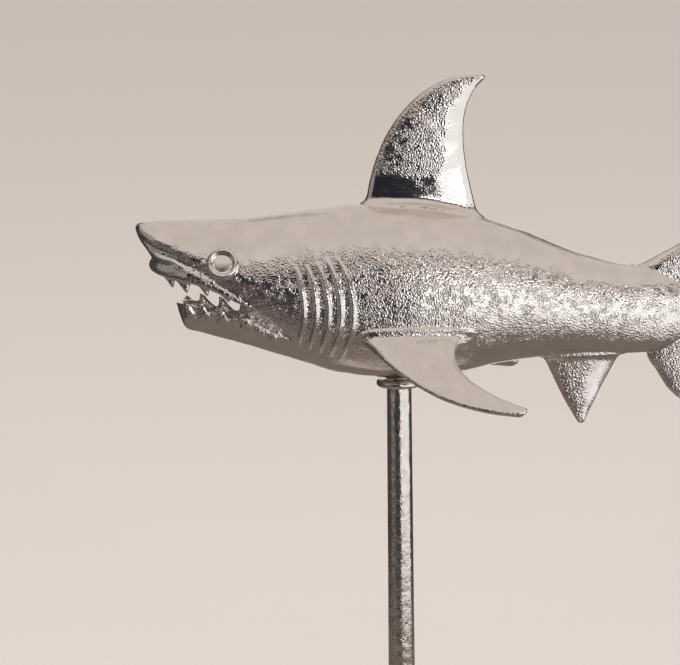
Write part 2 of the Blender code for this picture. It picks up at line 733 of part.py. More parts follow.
def make_shark(material):
    """The casting: body, jaws, teeth, eyes, gills and fins are one piece of metal."""
    head = [MOUTH_CORNER * (i / BODY_STATIONS_HEAD) ** 1.25 for i in range(BODY_STATIONS_HEAD)]
    trunk = spaced(MOUTH_CORNER, TOP_LINE[-1][0], BODY_STATIONS_TRUNK)
    shark = loft("shark", [body_section(place) for place in head + trunk], material)
    cutters = [mouth_gap(), jaw_trough(), palate()]
    for side in (-1, 1):
        cutters += [mouth_corner(side), snout_groove(side)]
    boolean(shark, "DIFFERENCE", cutters)
    fins = [dorsal_fin(), ventral_fin(), pectoral_fin(-1), pectoral_fin(1), tail_fin()]
    added = [lip_ridge()] + teeth() + [eye(-1), eye(1)] + gills()
    added += [gum_ridge(-1), gum_ridge(1), boss()]
    boolean(shark, "UNION", fins + added)
    boolean(shark, "DIFFERENCE", [stud_bore()])
    return shark


def make_collar(material):
    inner = STUD_RADIUS + BORE_CLEARANCE
    edge = COLLAR_RADIUS - COLLAR_EDGE_RADIUS
    profile = [(inner, COLLAR_BOTTOM)]
    for angle in spaced(-math.pi / 2, 0, 5):
        height = COLLAR_BOTTOM + COLLAR_EDGE_RADIUS * (1 + math.sin(angle))
        profile.append((edge + COLLAR_EDGE_RADIUS * math.cos(angle), height))
    for angle in spaced(0, math.pi / 2, 5):
        height = COLLAR_TOP - COLLAR_EDGE_RADIUS * (1 - math.sin(angle))
        profile.append((edge + COLLAR_EDGE_RADIUS * math.cos(angle), height))
    profile.append((inner, COLLAR_TOP))
    return turned("collar", profile, material, hole=True)


def make_stud(material):
    top = STUD_FOOT + STUD_LENGTH
    narrow = STUD_RADIUS - STUD_CHAMFER
    profile = [(0, STUD_FOOT), (narrow, STUD_FOOT), (STUD_RADIUS, STUD_FOOT + STUD_CHAMFER)]
    profile += [(STUD_RADIUS, top - STUD_CHAMFER), (narrow, top), (0, top)]
    return turned("stud", profile, material)


def make_rod(material):
    stud_hole = STUD_RADIUS + BORE_CLEARANCE
    stud_floor = STUD_FOOT - BORE_END_ROOM
    screw_hole = SCREW_RADIUS + BORE_CLEARANCE
    screw_roof = PLATE_BOTTOM + SCREW_LENGTH + BORE_END_ROOM
    chamfer = ROD_EDGE_CHAMFER
    profile = [
        (0, screw_roof),
        (screw_hole, screw_roof),
        (screw_hole, ROD_FOOT),
        (ROD_FOOT_RADIUS - chamfer, ROD_FOOT),
        (ROD_FOOT_RADIUS, ROD_FOOT + chamfer),
        (ROD_TOP_RADIUS, ROD_TOP - chamfer),
        (ROD_TOP_RADIUS - chamfer, ROD_TOP),
        (stud_hole, ROD_TOP),
        (stud_hole, stud_floor),
        (0, stud_floor),
    ]
    return turned("rod", profile, material)


def rounded_slab(name, length, width, bottom, top, corner, edge, material):
    bm = bmesh.new()
    bmesh.ops.create_cube(bm, size=1.0)
    for vert in bm.verts:
        vert.co.x *= length
        vert.co.y *= width
        vert.co.z = top if vert.co.z > 0 else bottom
    upright = [e for e in bm.edges if abs(e.verts[0].co.z - e.verts[1].co.z) > (top - bottom) / 2]
    bmesh.ops.bevel(bm, geom=upright, offset=corner, segments=6, profile=0.5, affect="EDGES")
    if edge:
        upper = [e for e in bm.edges if min(v.co.z for v in e.verts) > top - edge / 10]
        bmesh.ops.bevel(bm, geom=upper, offset=edge, segments=3, profile=0.5, affect="EDGES")
    return mesh_object(name, bm, material)


def make_base_plate(material):
    plate = rounded_slab(
        "base_plate", PLATE_LENGTH, PLATE_WIDTH, PLATE_BOTTOM, PLATE_TOP,
        PLATE_CORNER_RADIUS, PLATE_EDGE_RADIUS, material,
    )
    shank = SCREW_RADIUS + BORE_CLEARANCE
    head = SCREW_HEAD_RADIUS + BORE_CLEARANCE
    profile = [
        (0, PLATE_BOTTOM - CUTTER_PAST),
        (head, PLATE_BOTTOM - CUTTER_PAST),
        (head, PLATE_BOTTOM + BORE_CLEARANCE),
        (shank, PLATE_BOTTOM + BORE_CLEARANCE + SCREW_HEAD_HEIGHT),
        (shank, PLATE_TOP + CUTTER_PAST),
        (0, PLATE_TOP + CUTTER_PAST),
    ]
    boolean(plate, "DIFFERENCE", [turned("screw_hole", profile)])
    return plate


def make_base_screw(material):
    top = PLATE_BOTTOM + SCREW_LENGTH
    chamfer = SCREW_RADIUS / 5
    profile = [
        (0, PLATE_BOTTOM + SCREW_SOCKET_DEPTH),
        (SCREW_SOCKET_RADIUS, PLATE_BOTTOM + SCREW_SOCKET_DEPTH),
        (SCREW_SOCKET_RADIUS, PLATE_BOTTOM),
        (SCREW_HEAD_RADIUS, PLATE_BOTTOM),
        (SCREW_RADIUS, PLATE_BOTTOM + SCREW_HEAD_HEIGHT),
        (SCREW_RADIUS, top - chamfer),
        (SCREW_RADIUS - chamfer, top),
        (0, top),
    ]
    return turned("base_screw", profile, material)


def make_felt_sheet(material):
    length = PLATE_LENGTH - 2 * FELT_INSET
    width = PLATE_WIDTH - 2 * FELT_INSET
    corner = PLATE_CORNER_RADIUS - FELT_INSET
    return rounded_slab("felt_sheet", length, width, 0.0, FELT_THICKNESS, corner, 0, material)


def main():
    clear_scene()
    cast_nickel = metal("cast_nickel", (0.62, 0.58, 0.54), 0.28)
    turned_nickel = metal("turned_nickel", (0.58, 0.54, 0.50), 0.25)
    steel = metal("zinc_steel", (0.52, 0.53, 0.54), 0.4)
    felt = metal("felt", (0.06, 0.06, 0.06), 0.95, metallic=0.0)
    make_felt_sheet(felt)
    make_base_plate(cast_nickel)
    make_base_screw(steel)
    make_rod(turned_nickel)
    make_stud(steel)
    make_collar(turned_nickel)
    make_shark(cast_nickel)


main()
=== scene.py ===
import math

import bmesh
import bpy
import numpy as np
from mathutils import Matrix, Vector, noise
from mathutils.kdtree import KDTree


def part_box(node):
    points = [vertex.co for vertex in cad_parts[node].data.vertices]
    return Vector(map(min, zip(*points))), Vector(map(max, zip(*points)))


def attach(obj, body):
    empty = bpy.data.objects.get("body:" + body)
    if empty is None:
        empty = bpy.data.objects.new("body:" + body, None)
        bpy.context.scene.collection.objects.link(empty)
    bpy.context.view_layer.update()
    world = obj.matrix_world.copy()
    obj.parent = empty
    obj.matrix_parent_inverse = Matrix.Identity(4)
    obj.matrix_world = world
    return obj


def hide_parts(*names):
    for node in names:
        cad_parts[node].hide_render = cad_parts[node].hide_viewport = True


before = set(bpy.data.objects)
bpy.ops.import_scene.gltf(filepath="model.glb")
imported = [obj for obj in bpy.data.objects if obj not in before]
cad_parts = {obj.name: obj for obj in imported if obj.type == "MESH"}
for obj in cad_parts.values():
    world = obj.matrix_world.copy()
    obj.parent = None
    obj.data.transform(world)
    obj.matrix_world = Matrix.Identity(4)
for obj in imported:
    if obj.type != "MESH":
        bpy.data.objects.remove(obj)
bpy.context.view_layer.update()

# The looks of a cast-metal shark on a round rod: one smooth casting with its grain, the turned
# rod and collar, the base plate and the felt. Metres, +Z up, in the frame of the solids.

MM = 0.001
SEAT_GAP = 0.3 * MM
BORE_CLEARANCE = 0.3 * MM
BORE_END_ROOM = 1.5 * MM
CUTTER_PAST = 5 * MM

# The shark's body, without its fins
BODY_LENGTH = 320 * MM
BODY_DEPTH = 91.5 * MM
BODY_WIDTH = 66 * MM
ROD_FROM_NOSE = 136 * MM
BOSS_RADIUS = 7.5 * MM
BOSS_HEIGHT = 0.5 * MM
BOSS_SINK = 6 * MM

# The mouth
MOUTH_CORNER_SINK = 2.6 * MM
JAW_WALL = 3.4 * MM
JAW_FLOOR = 7.0 * MM
PALATE_WALL = 4.0 * MM
PALATE_RISE = 5.0 * MM
LEAST_HOLLOW = 1.0 * MM
HOLLOW_FRONT_START = 0.06
HOLLOW_FRONT_RATE = 2.2
HOLLOW_FRONT_DEPTH = 0.35
HOLLOW_POWER = 0.8
HOLLOW_PAST_EDGE = 3.0 * MM
LIP_RIDGE_HALF = 1.9 * MM
LIP_RIDGE_TURN = 12
SNOUT_GROOVE_HALF = 1.9 * MM
SNOUT_GROOVE_DEPTH = 1.7 * MM
GUM_RIDGE_HALF = 1.9 * MM
GUM_RIDGE_SINK = 0.4 * MM
GUM_RIDGE_DEPTH_SHARE = 0.9
GUM_RIDGE_END_SHARE = 0.6
UPPER_TOOTH_ROOT = 2.0 * MM
LOWER_TOOTH_REACH = 9.0 * MM
LOWER_TOOTH_SINK = 1.1 * MM
TOOTH_HALF_THICKNESS = 1.6 * MM
TOOTH_TIP_HALF = 0.6 * MM
TOOTH_CROWN = 0.95
TOOTH_TAPER = 1.2

# Eyes and gills
EYE_RADIUS = 8.0 * MM
EYE_RING_THICKNESS = 2.4 * MM
EYE_RING_RISE = 0.4 * MM
EYE_DOME_HEIGHT = 0.7 * MM
EYE_SINK = 3.0 * MM
DOME_EDGE_SHARE = 0.95
GILL_COUNT = 5
GILL_RIDGE_WIDTH = 2.6 * MM
GILL_RIDGE_HEIGHT = 1.2 * MM
GILL_SINK = 0.3 * MM
GILL_END_SHARE = 0.35

# Fins: root chord along the body, height or span from the body, and half thicknesses
DORSAL_CHORD = 58 * MM
DORSAL_HEIGHT = 67 * MM
DORSAL_ROOT_HALF = 5.2 * MM
DORSAL_TIP_HALF = 1.8 * MM
PECTORAL_CHORD = 55 * MM
PECTORAL_SPAN = 44.5 * MM
PECTORAL_DROP = 30.5 * MM
PECTORAL_ROOT_HALF = 3.0 * MM
PECTORAL_TIP_HALF = 1.9 * MM
PECTORAL_SHOULDER_HEIGHT = 1.7 * MM
PECTORAL_SHOULDER_START = 5.5 * MM
PECTORAL_SHOULDER_END = 13 * MM
VENTRAL_CHORD = 40 * MM
VENTRAL_HEIGHT = 35.5 * MM
VENTRAL_ROOT_HALF = 5.2 * MM
VENTRAL_TIP_HALF = 1.4 * MM
CAUDAL_ROOT_HALF = 7.5 * MM
CAUDAL_TIP_HALF = 1.6 * MM
FIN_FILLET = 3.5 * MM
FIN_SINK = 9 * MM
ROOT_FOLLOW = 0.5
FIN_FULLNESS = 2.3
PECTORAL_FULLNESS = 3.2
FIN_TIP_ROUNDING = 0.6
TAIL_THINNING = 1.3
TAIL_FRONT_BULGE = 0.25

# Places and outlines on the body, in percent of its length from the nose and of its depth
# from the lowest point of the belly. Its core ends inside the tail fin
TOP_LINE = (
    (0, 88.4), (0.5, 90.1), (1.6, 90.9), (6.3, 91.6), (16.3, 92.1), (22.9, 94.6), (28.5, 97.2),
    (37.5, 100), (45, 99.6), (52.2, 95.5), (61.3, 85.5), (71.3, 71), (79, 63.5), (84, 61),
    (88, 56), (93, 46),
)
UNDER_LINE = (
    (0, 86.4), (0.6, 81), (2, 73.6), (2.9, 67.8), (3.8, 61), (4.7, 58.5), (5.7, 52), (6.4, 45),
    (6.8, 38.9), (7.7, 30.7), (8.3, 28.7), (10.3, 26.9), (18.1, 19.1), (25.8, 10.7), (33.6, 3),
    (42.5, 0), (52.4, 3.1), (58.9, 8), (68.7, 11.7), (84, 13), (88, 18), (93, 29),
)
WIDEST_LINE = (
    (0, 87.4), (3.5, 80), (9.4, 71), (16.3, 62.3), (22.9, 55), (28.5, 49.5), (37.5, 47),
    (52.2, 46.4), (66.3, 42.6), (81.3, 37.2), (93, 37),
)
# Half width in percent of the greatest half width
HALF_WIDTH = (
    (0, 2.7), (0.5, 10.9), (1.6, 20.6), (3.5, 30.9), (6.3, 41.8), (9.4, 52.1), (12.9, 61.8),
    (19.7, 75.8), (25.7, 86.4), (32.5, 95.2), (42.5, 100), (52.2, 94.5), (61.3, 80),
    (71.3, 60.6), (81.3, 43), (87, 28), (93, 7),
)
# Exponent of each section's superellipse below and above its widest line: 2 is round, more is
# boxy, and less gives the jaw its keel and the snout the edge along its side
UNDER_FULLNESS = (
    (0, 2), (4.5, 2), (6.2, 1.6), (8, 1.5), (12, 1.6), (17, 1.7), (24, 2), (32, 2.25),
    (60, 2.1), (93, 2),
)
TOP_FULLNESS = ((0, 1.9), (3, 1.6), (8, 1.5), (16, 1.5), (24, 1.75), (32, 2), (45, 2.1), (93, 2.1))

LIP_EDGE = (
    (2, 60), (4.6, 59.3), (7.1, 58.6), (10.1, 57.6), (13.4, 53.6), (17.4, 46), (20.5, 40.2),
    (22.4, 35), (24, 30), (25.5, 25),
)
JAW_RIM = (
    (2, 44.8), (7.4, 44.8), (9.6, 43.8), (12.1, 40.7), (14.9, 37.6), (17.6, 36), (20, 33.2),
    (22.5, 29.1), (25.5, 24.4),
)
MOUTH_BACK = 17.4
MOUTH_BACK_ROUNDING = 0.7
WEB_OVERLAP = 1.5
WEB_END_SINK = 0.3
MOUTH_CORNER = 25.4
JAW_TROUGH = (7.6, 17.3)
PALATE = (5.4, 17.2)
# The ridge of the upper lip: place, height, sideways share of the body's greatest half width,
# half height. It sinks into the cheek at its ends
LIP_RIDGE = (
    (2.7, 66.2, 0, 3.4), (3, 66.1, 10, 3.7), (3.9, 65.6, 20, 4.6), (6, 64.3, 32.5, 5.2),
    (8.5, 62.3, 44, 4.5), (11.3, 58.8, 52.5, 3.3), (14.1, 53.8, 58.7, 2.4),
    (16.6, 48.8, 62.5, 1.9), (18.6, 45.6, 63, 1.4), (20.3, 43, 61, 1),
)
# The hollow above that ridge: place, height, half height, share of its full depth
SNOUT_GROOVE = (
    (0.6, 85, 1, -0.2), (1.6, 80.4, 2.3, 0.5), (2.6, 77.6, 3.4, 0.85), (4.2, 75.2, 3.8, 1),
    (6.2, 72.8, 3.2, 1), (8.2, 69, 2.8, 0.95), (10, 65.4, 2.4, 0.85), (12, 60.4, 2, 0.65),
    (14.6, 54.8, 1.6, 0.35), (17.2, 49.6, 1.2, -0.2),
)
GUM_RIDGE = ((17.5, 36.8), (19.2, 34.4), (20.8, 31.5), (22.5, 28.4))
# The teeth on one side: place and height of the tip, half width of the root in millimetres
UPPER_TEETH = ((6, 53.8, 3.8), (8.3, 51.6, 5), (11.6, 50.4, 4.4), (15.1, 47, 3.6))
LOWER_TEETH = ((8, 47, 4.2), (10.3, 47.6, 4.8), (13.4, 45.2, 4.6), (16.8, 42.4, 3.6))
UPPER_TOOTH_LEAN = 0.4
LOWER_TOOTH_LEAN = 1.1
EYE_PLACE = (14.2, 69.6)
# First and last gill: place and height of the top, height of the bottom, bulge to the tail
FIRST_GILL = (26, 68, 21.5, 1.2)
LAST_GILL = (32.8, 73, 14.5, 2.4)
DORSAL_PLACE = 37.4
PECTORAL_PLACE = 36.6
PECTORAL_LEVEL = 25.4
VENTRAL_PLACE = 65.9

# Leading and trailing edge of each fin as cubic curves, in shares of its chord and height
DORSAL_EDGES = (
    ((0, 0), (0.06, 0.52), (0.45, 1.02), (1.04, 1)),
    ((1, 0), (0.86, 0.33), (0.78, 0.76), (1.065, 0.96)),
)
PECTORAL_EDGES = (
    ((0, 0), (0.34, 0.44), (0.66, 0.93), (1.44, 1.01)),
    ((1, 0), (0.74, 0.08), (0.81, 0.59), (1.52, 0.92)),
)
VENTRAL_EDGES = (
    ((0, 0), (0.13, 0.3), (0.27, 0.7), (0.46, 1)),
    ((1, 0), (0.86, 0.25), (0.68, 0.6), (0.54, 0.98)),
)
# The fins in the mid-plane: name, place, line that they stand on, way up or down, edges, chord,
# height, half thickness at root and tip
DORSAL = ("dorsal_fin", DORSAL_PLACE, TOP_LINE, 1, DORSAL_EDGES, DORSAL_CHORD, DORSAL_HEIGHT)
VENTRAL = ("ventral_fin", VENTRAL_PLACE, UNDER_LINE, -1, VENTRAL_EDGES, VENTRAL_CHORD, VENTRAL_HEIGHT)
MEDIAN_FINS = (
    (*DORSAL, (DORSAL_ROOT_HALF, DORSAL_TIP_HALF)),
    (*VENTRAL, (VENTRAL_ROOT_HALF, VENTRAL_TIP_HALF)),
)
# The tail fin's front edge and rear edge from its lower tip to its upper tip: height, place.
# The front edge runs through the body's core between its two lobes
TAIL_FRONT = (
    (-30.8, 95.8), (-22, 91.6), (-14.4, 88.1), (-8.3, 86.2), (2.2, 84.3), (12, 82.8), (24, 86),
    (37, 87), (50, 85.5), (60, 80.5), (66.2, 83.4), (75.3, 88.2), (96, 97), (129.4, 106.3),
)
TAIL_REAR = (
    (-30.8, 96.4), (-18, 94.7), (-3.5, 94.4), (23.8, 95.6), (47.9, 97), (73, 99.7), (98, 102.8),
    (129.4, 106.7),
)
TAIL_THICKEST = 37

# Facets of the fine casting, before and after its surface is made one
HEAD_CROWDING = 1.25
BODY_STATIONS_HEAD = 100
BODY_STATIONS_TRUNK = 110
BODY_SIDES = 120
FIN_LEVELS = 56
FIN_SIDES = 56
TAIL_LEVELS = 90
GILL_LEVELS = 44
GILL_SIDES = 16
RIDGE_SIDES = 32
HOLLOW_LEVELS = 30
HOLLOW_SIDES = 30
MOUTH_LEVELS = 50
WEB_LEVELS = 30
WEB_STEPS = 10
TOOTH_SIDES = 20
TOOTH_LEVELS = 12
EYE_SIDES = 96
RING_LEVELS = 18
DOME_LEVELS = 12
ROUND_SIDES = 144
SURFACE_STEP = 0.55 * MM
SOFTEN_STEPS = 4
SOFTEN_SHARE = 0.5
MOST_TRIANGLES = 190000
SHARP_ANGLE = math.radians(35)
ROD_STEPS = 60
ROUND_STEPS = 12
CORNER_SEGMENTS = 24
EDGE_SEGMENTS = 8

# Places that the solids give
COLLAR_LOW, COLLAR_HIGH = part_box("collar")
ROD_LOW, ROD_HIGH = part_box("rod")
PLATE_LOW, PLATE_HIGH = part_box("base_plate")
FELT_LOW, FELT_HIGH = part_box("felt_sheet")
STUD_LOW, STUD_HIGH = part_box("stud")
CASTING_SEAT = COLLAR_HIGH[2] + SEAT_GAP
BELLY = CASTING_SEAT + BOSS_HEIGHT
STUD_RADIUS = STUD_HIGH[0]
STUD_FOOT = STUD_LOW[2]
ROD_TOP_RADIUS = 6.45 * MM
ROD_EDGE_CHAMFER = 0.5 * MM
COLLAR_EDGE_RADIUS = 1.9 * MM
PLATE_CORNER_RADIUS = 8 * MM
PLATE_EDGE_RADIUS = 1.8 * MM
FELT_EDGE_RADIUS = 0.5 * MM
ROD_FOOT_HOLE = 1 * MM

# The photograph's view
VIEW_ELEVATION = math.radians(10)
VIEW_ROLL = math.radians(0.62)
VIEW_DISTANCE = 3.0
VIEW_WIDTH = 353.6 * MM
SENSOR_WIDTH = 36.0
VIEW_TARGET = Vector((-30.5 * MM, 0, BELLY + 23.6 * MM))

# The casting's unevenness, and the small lumps that it has besides its main forms
LUMP_SIZE = 9 * MM
LUMP_HEIGHT = 0.16 * MM
DIMPLE_SIZE = 2.6 * MM
DIMPLE_HEIGHT = 0.05 * MM
GUM_BEADS = 9
GUM_BEAD_RADIUS = 2.3 * MM
GUM_BEAD_OUT = 0.8 * MM
# How far the beads stray in height and in size, each with its step from bead to bead
GUM_BEAD_STRAY = (0.9, 2.4)
GUM_BEAD_SPREAD = (0.25, 1.7)
# Lumps on the outer face of each lower tooth: share of its length, shift along the jaw, radius
TOOTH_LUMPS = ((0.1, 0.9, 1.9), (0.28, 0.4, 2.5), (0.5, 0, 2.4), (0.7, 0.1, 1.7))
TOOTH_LUMP_OUT = 1.2 * MM
# Specks on each cheek by place, height and radius, and bumps on the tail by place and radius
FACE_SPECKS = (
    (8.2, 70.6, 0.6), (9.5, 68.4, 0.8), (11.1, 69.8, 0.8), (10.7, 63.8, 0.6), (12.6, 59.4, 0.7),
    (13.4, 60.6, 0.6), (11.6, 66.6, 0.5),
)
TAIL_BUMPS = ((80.4, 1.2), (81.8, 1.5), (83.1, 1.1), (84.6, 1.4))

# The share of its grain that a worn part keeps, and where each kind of wear starts and ends:
# by how far the surface faces up, down or to the tail, by place, or by distance
LEAST_GRAIN = 0.3
SNOUT_GRAIN = 0.4
TOP_GRAIN = 0.1
UNDER_GRAIN = 0.2
WORN_GRAIN = 0.1
TOP_FACING = (0.3, 0.6)
UNDER_FACING = (-0.65, -0.4)
TAIL_FACING = (0.03, 0.12)
SNOUT_PLACES = (9, 13)
CREST_WEAR = (1.1 * MM, 2 * MM)
EYE_WEAR_FADE = 1.5 * MM
FIN_ROOT_FADE = (0, 3 * MM)
FIN_END_FADE = 5 * MM
DORSAL_FOOT_TOP = (13 * MM, 17 * MM)
DORSAL_FOOT_BOTTOM = (-4 * MM, 0)
DORSAL_REACH = 1.1

# The dull skin that the casting keeps in places, and how far it reaches there
DULL_ROUGHNESS = 0.4
MOUTH_DULLNESS = 0.25
RIDGE_DULLNESS = 0.3
RING_DULLNESS = 0.3
MOUTH_REACH = (2.8 * MM, 4 * MM)
CREST_REACH = (1.2 * MM, 1.9 * MM)
RING_INNER_FADE = 0.5 * MM
RING_OUTER_FADE = 1 * MM
TOOTH_MARKS = (0.1, 0.9, 6)
GUM_MARKS = 12

# Each metal's light and dark tone, size and height of its grain, and least and most roughness
CAST_NICKEL = ((0.86, 0.82, 0.79), (0.78, 0.74, 0.71), 0.85 * MM, 0.62 * MM, (0.07, 0.12))
TURNED_NICKEL = ((0.80, 0.76, 0.71), (0.68, 0.64, 0.59), 0.7 * MM, 0.16 * MM, (0.1, 0.16))
PLATE_NICKEL = ((0.82, 0.78, 0.74), (0.72, 0.68, 0.64), 0.8 * MM, 0.16 * MM, (0.14, 0.24))
TONE_SIZE = 9 * MM
SHEEN_SIZE = 3 * MM
WEAR_SIZE = 4.5 * MM
SWELL_SIZE = 5 * MM
SWELL_HEIGHT = 0.4 * MM
GRAIN_DETAIL = 0.3
STEEL_COLOUR = (0.62, 0.63, 0.64)
FELT_TONES = ((0.05, 0.046, 0.043), (0.1, 0.094, 0.088))
FIBRE_SIZE = 0.5 * MM
FIBRE_HEIGHT = 0.3 * MM

# The stage. Stops run from a card's lower edge to its upper one, or from below to the zenith
FLOOR_COLOUR = (0.80, 0.78, 0.76)
FLOOR_RADIUS = 12
FLOOR_CARD_HEIGHT = 1 * MM
# Tones of the stage cards, painted reflections that only the metal mirrors: the dark tones are
# painted shade, BRIGHT and UPPER_GLOW are painted highlights, and STRIP is a painted half shade
NEAR_FLOOR_SHADE = (0.19, 0.16, 0.14)
FLOOR_SHADE = (0.06, 0.055, 0.055)
BRIGHT = (1, 0.99, 0.97)
STRIP = (0.3, 0.27, 0.25)
DARK = (0.018, 0.019, 0.027)
SIDE_SHADE = (0.07, 0.062, 0.058)
UPPER_GLOW = (0.6, 0.54, 0.5)
SKY_STOPS = (
    (0.0, (0.74, 0.70, 0.67)),
    (0.3, (0.72, 0.66, 0.62)),
    (0.6, (0.68, 0.61, 0.56)),
    (1.0, (0.64, 0.57, 0.52)),
)
FRONT_STOPS = (
    (0.0, (0.17, 0.145, 0.13)),
    (0.2, (0.07, 0.06, 0.06)),
    (0.4, DARK),
    (0.72, DARK),
    (0.88, STRIP),
    (1.0, (0.66, 0.6, 0.56)),
)
GLOW_STOPS = ((0.0, BRIGHT), (0.8, BRIGHT), (1.0, (0.2, 0.19, 0.19)))
RIGHT_STOPS = ((0.0, SIDE_SHADE), (0.7, SIDE_SHADE), (1.0, UPPER_GLOW))
STRIP_STOPS = ((0.0, STRIP), (0.5, STRIP), (1.0, UPPER_GLOW))
LEFT_STOPS = (
    (0.0, SIDE_SHADE),
    (0.6, (0.05, 0.045, 0.045)),
    (0.85, (0.2, 0.18, 0.17)),
    (1.0, UPPER_GLOW),
)
# Lamps: azimuth, elevation, distance, width, height, watts, colour, and if the metal mirrors it
LAMPS = (
    ("top_fill", 0, 80, 2.4, 2.4, 2.0, 26, (1.0, 0.97, 0.94), False),
    ("key_box", 20, 6, 2.5, 1.3, 0.5, 3.6, (1.0, 0.98, 0.96), True),
)
# Cards bent round the object, glowing with painted shade and painted highlights for the metal to
# mirror: azimuths, elevations, distance, stops
BENT_CARDS = (
    ("front_shade", (-44, 104), (-30, 34), 2.9, FRONT_STOPS),
    ("side_glow", (7, 98), (-8, 13), 2.7, GLOW_STOPS),
    ("right_shade", (104, 165), (-30, 40), 2.9, RIGHT_STOPS),
    ("strip_shade", (-84, -44), (-8, 50), 2.9, STRIP_STOPS),
    ("left_shade", (-165, -84), (-30, 62), 2.9, LEFT_STOPS),
)
# Cards just over the floor, painted reflections of floor patches darker and brighter than the real
# floor: azimuths, inner and outer radius, tone
FLOOR_CARDS = (
    ("near_floor_shade", (-180, 180), (0.001, 0.42), NEAR_FLOOR_SHADE),
    ("front_floor_shade", (-44, 8), (0.42, 3.2), FLOOR_SHADE),
    ("left_floor_shade", (-165, -84), (0.42, 3.2), FLOOR_SHADE),
    ("strip_floor_shade", (-84, -44), (0.42, 0.9), FLOOR_SHADE),
    ("strip_floor", (-84, -44), (0.9, 3.2), STRIP),
    ("side_floor_glow", (8, 34), (0.52, 3.2), BRIGHT),
    ("far_floor_glow", (34, 98), (0.38, 3.2), BRIGHT),
    ("right_floor_shade", (98, 165), (0.42, 3.2), FLOOR_SHADE),
)
CARD_ROWS = 25
CARD_COLUMNS = 49


def smooth_line(points, x):
    """Value at x of the smooth line through the points, which never overshoots them."""
    if x <= points[0][0]:
        return points[0][1]
    if x >= points[-1][0]:
        return points[-1][1]
    slopes = [(b[1] - a[1]) / (b[0] - a[0]) for a, b in zip(points, points[1:])]
    tangents = [slopes[0]]
    for before, after in zip(slopes, slopes[1:]):
        same_way = before * after > 0
        tangents.append(2 * before * after / (before + after) if same_way else 0.0)
    tangents.append(slopes[-1])
    i = max(k for k in range(len(points) - 1) if points[k][0] <= x)
    (x0, y0), (x1, y1) = points[i][:2], points[i + 1][:2]
    width = x1 - x0
    t = (x - x0) / width
    start = (1 + 2 * t) * (1 - t) ** 2 * y0 + t * (1 - t) ** 2 * width * tangents[i]
    end = t * t * (3 - 2 * t) * y1 - t * t * (1 - t) * width * tangents[i + 1]
    return start + end


def along(place):
    """World X of a place in percent of the body's length."""
    return place / 100 * BODY_LENGTH - ROD_FROM_NOSE


def place_at(x):
    return (x + ROD_FROM_NOSE) / BODY_LENGTH * 100


def level(height):
    """World Z of a height in percent of the body's depth."""
    return BELLY + height / 100 * BODY_DEPTH


def half_width(place):
    return smooth_line(HALF_WIDTH, place) / 100 * BODY_WIDTH / 2


def flank(place, height):
    """Half width of the body's section at this place, at this height."""
    widest = smooth_line(WIDEST_LINE, place)
    if height >= widest:
        edge, power = smooth_line(TOP_LINE, place), smooth_line(TOP_FULLNESS, place)
    else:
        edge, power = smooth_line(UNDER_LINE, place), smooth_line(UNDER_FULLNESS, place)
    share = min(1.0, abs((height - widest) / (edge - widest)))
    return half_width(place) * (1 - share**power) ** (1 / power)


def flank_point(place, height, side, out=0.0):
    """Point on the body's side, or this far out of it along the surface's normal."""
    step = 0.4
    point = Vector((along(place), flank(place, height), level(height)))
    back = Vector((along(place + step), flank(place + step, height), level(height)))
    above = Vector((along(place), flank(place, height + step), level(height + step)))
    normal = (above - point).cross(back - point).normalized()
    point += normal * out
    normal.y *= side
    return Vector((point.x, side * point.y, point.z)), normal


def spaced(start, end, count):
    return [start + (end - start) * i / (count - 1) for i in range(count)]


def sided(name, side):
    """Name of the piece on this side. The left side is at +Y."""
    return name + ("_left" if side > 0 else "_right")


def round_sign(value, power):
    return math.copysign(abs(value) ** power, value)


def body_section(place):
    widest = smooth_line(WIDEST_LINE, place)
    top = smooth_line(TOP_LINE, place) - widest
    under = widest - smooth_line(UNDER_LINE, place)
    top_power, under_power = smooth_line(TOP_FULLNESS, place), smooth_line(UNDER_FULLNESS, place)
    ring = []
    for i in range(BODY_SIDES):
        angle = 2 * math.pi * i / BODY_SIDES
        power, reach = (top_power, top) if angle < math.pi else (under_power, under)
        across = half_width(place) * round_sign(math.cos(angle), 2 / power)
        height = widest + reach * round_sign(math.sin(angle), 2 / power)
        ring.append((along(place), across, level(height)))
    return ring


def mesh_object(name, bm):
    bmesh.ops.recalc_face_normals(bm, faces=bm.faces)
    mesh = bpy.data.meshes.new(name)
    bm.to_mesh(mesh)
    bm.free()
    mesh.shade_smooth()
    mesh.set_sharp_from_angle(angle=SHARP_ANGLE)
    thing = bpy.data.objects.new(name, mesh)
    bpy.context.scene.collection.objects.link(thing)
    return thing


def bridge(bm, one, two):
    """Faces between two rings of equally many points. A ring of one point is a tip."""
    sides = max(len(one), len(two))
    for i in range(sides):
        j = (i + 1) % sides
        if len(one) == 1:
            bm.faces.new((one[0], two[i], two[j]))
        elif len(two) == 1:
            bm.faces.new((one[i], two[0], one[j]))
        else:
            bm.faces.new((one[i], two[i], two[j], one[j]))


def loft(name, rings, loop=False):
    """Closed solid over a row of rings, or over a loop of them."""
    bm = bmesh.new()
    rows = [[bm.verts.new(point) for point in ring] for ring in rings]
    for one, two in zip(rows, rows[1:]):
        bridge(bm, one, two)
    if loop:
        bridge(bm, rows[-1], rows[0])
    else:
        for end in (rows[0], rows[-1]):
            if len(end) > 2:
                bm.faces.new(end)
    return mesh_object(name, bm)


def turned(name, profile, hole=False, sides=ROUND_SIDES):
    """Solid of revolution about Z. The profile starts and ends on the axis, or is a loop."""
    turn = [2 * math.pi * i / sides for i in range(sides)]
    rings = []
    for radius, height in profile:
        ring = [(radius * math.cos(angle), radius * math.sin(angle), height) for angle in turn]
        rings.append(ring if radius else ring[:1])
    return loft(name, rings, hole)


def oval(centre, first, second, sides):
    """Ring of points round a centre, on an ellipse with these two half axes."""
    turn = [2 * math.pi * k / sides for k in range(sides)]
    return [centre + first * math.cos(angle) + second * math.sin(angle) for angle in turn]


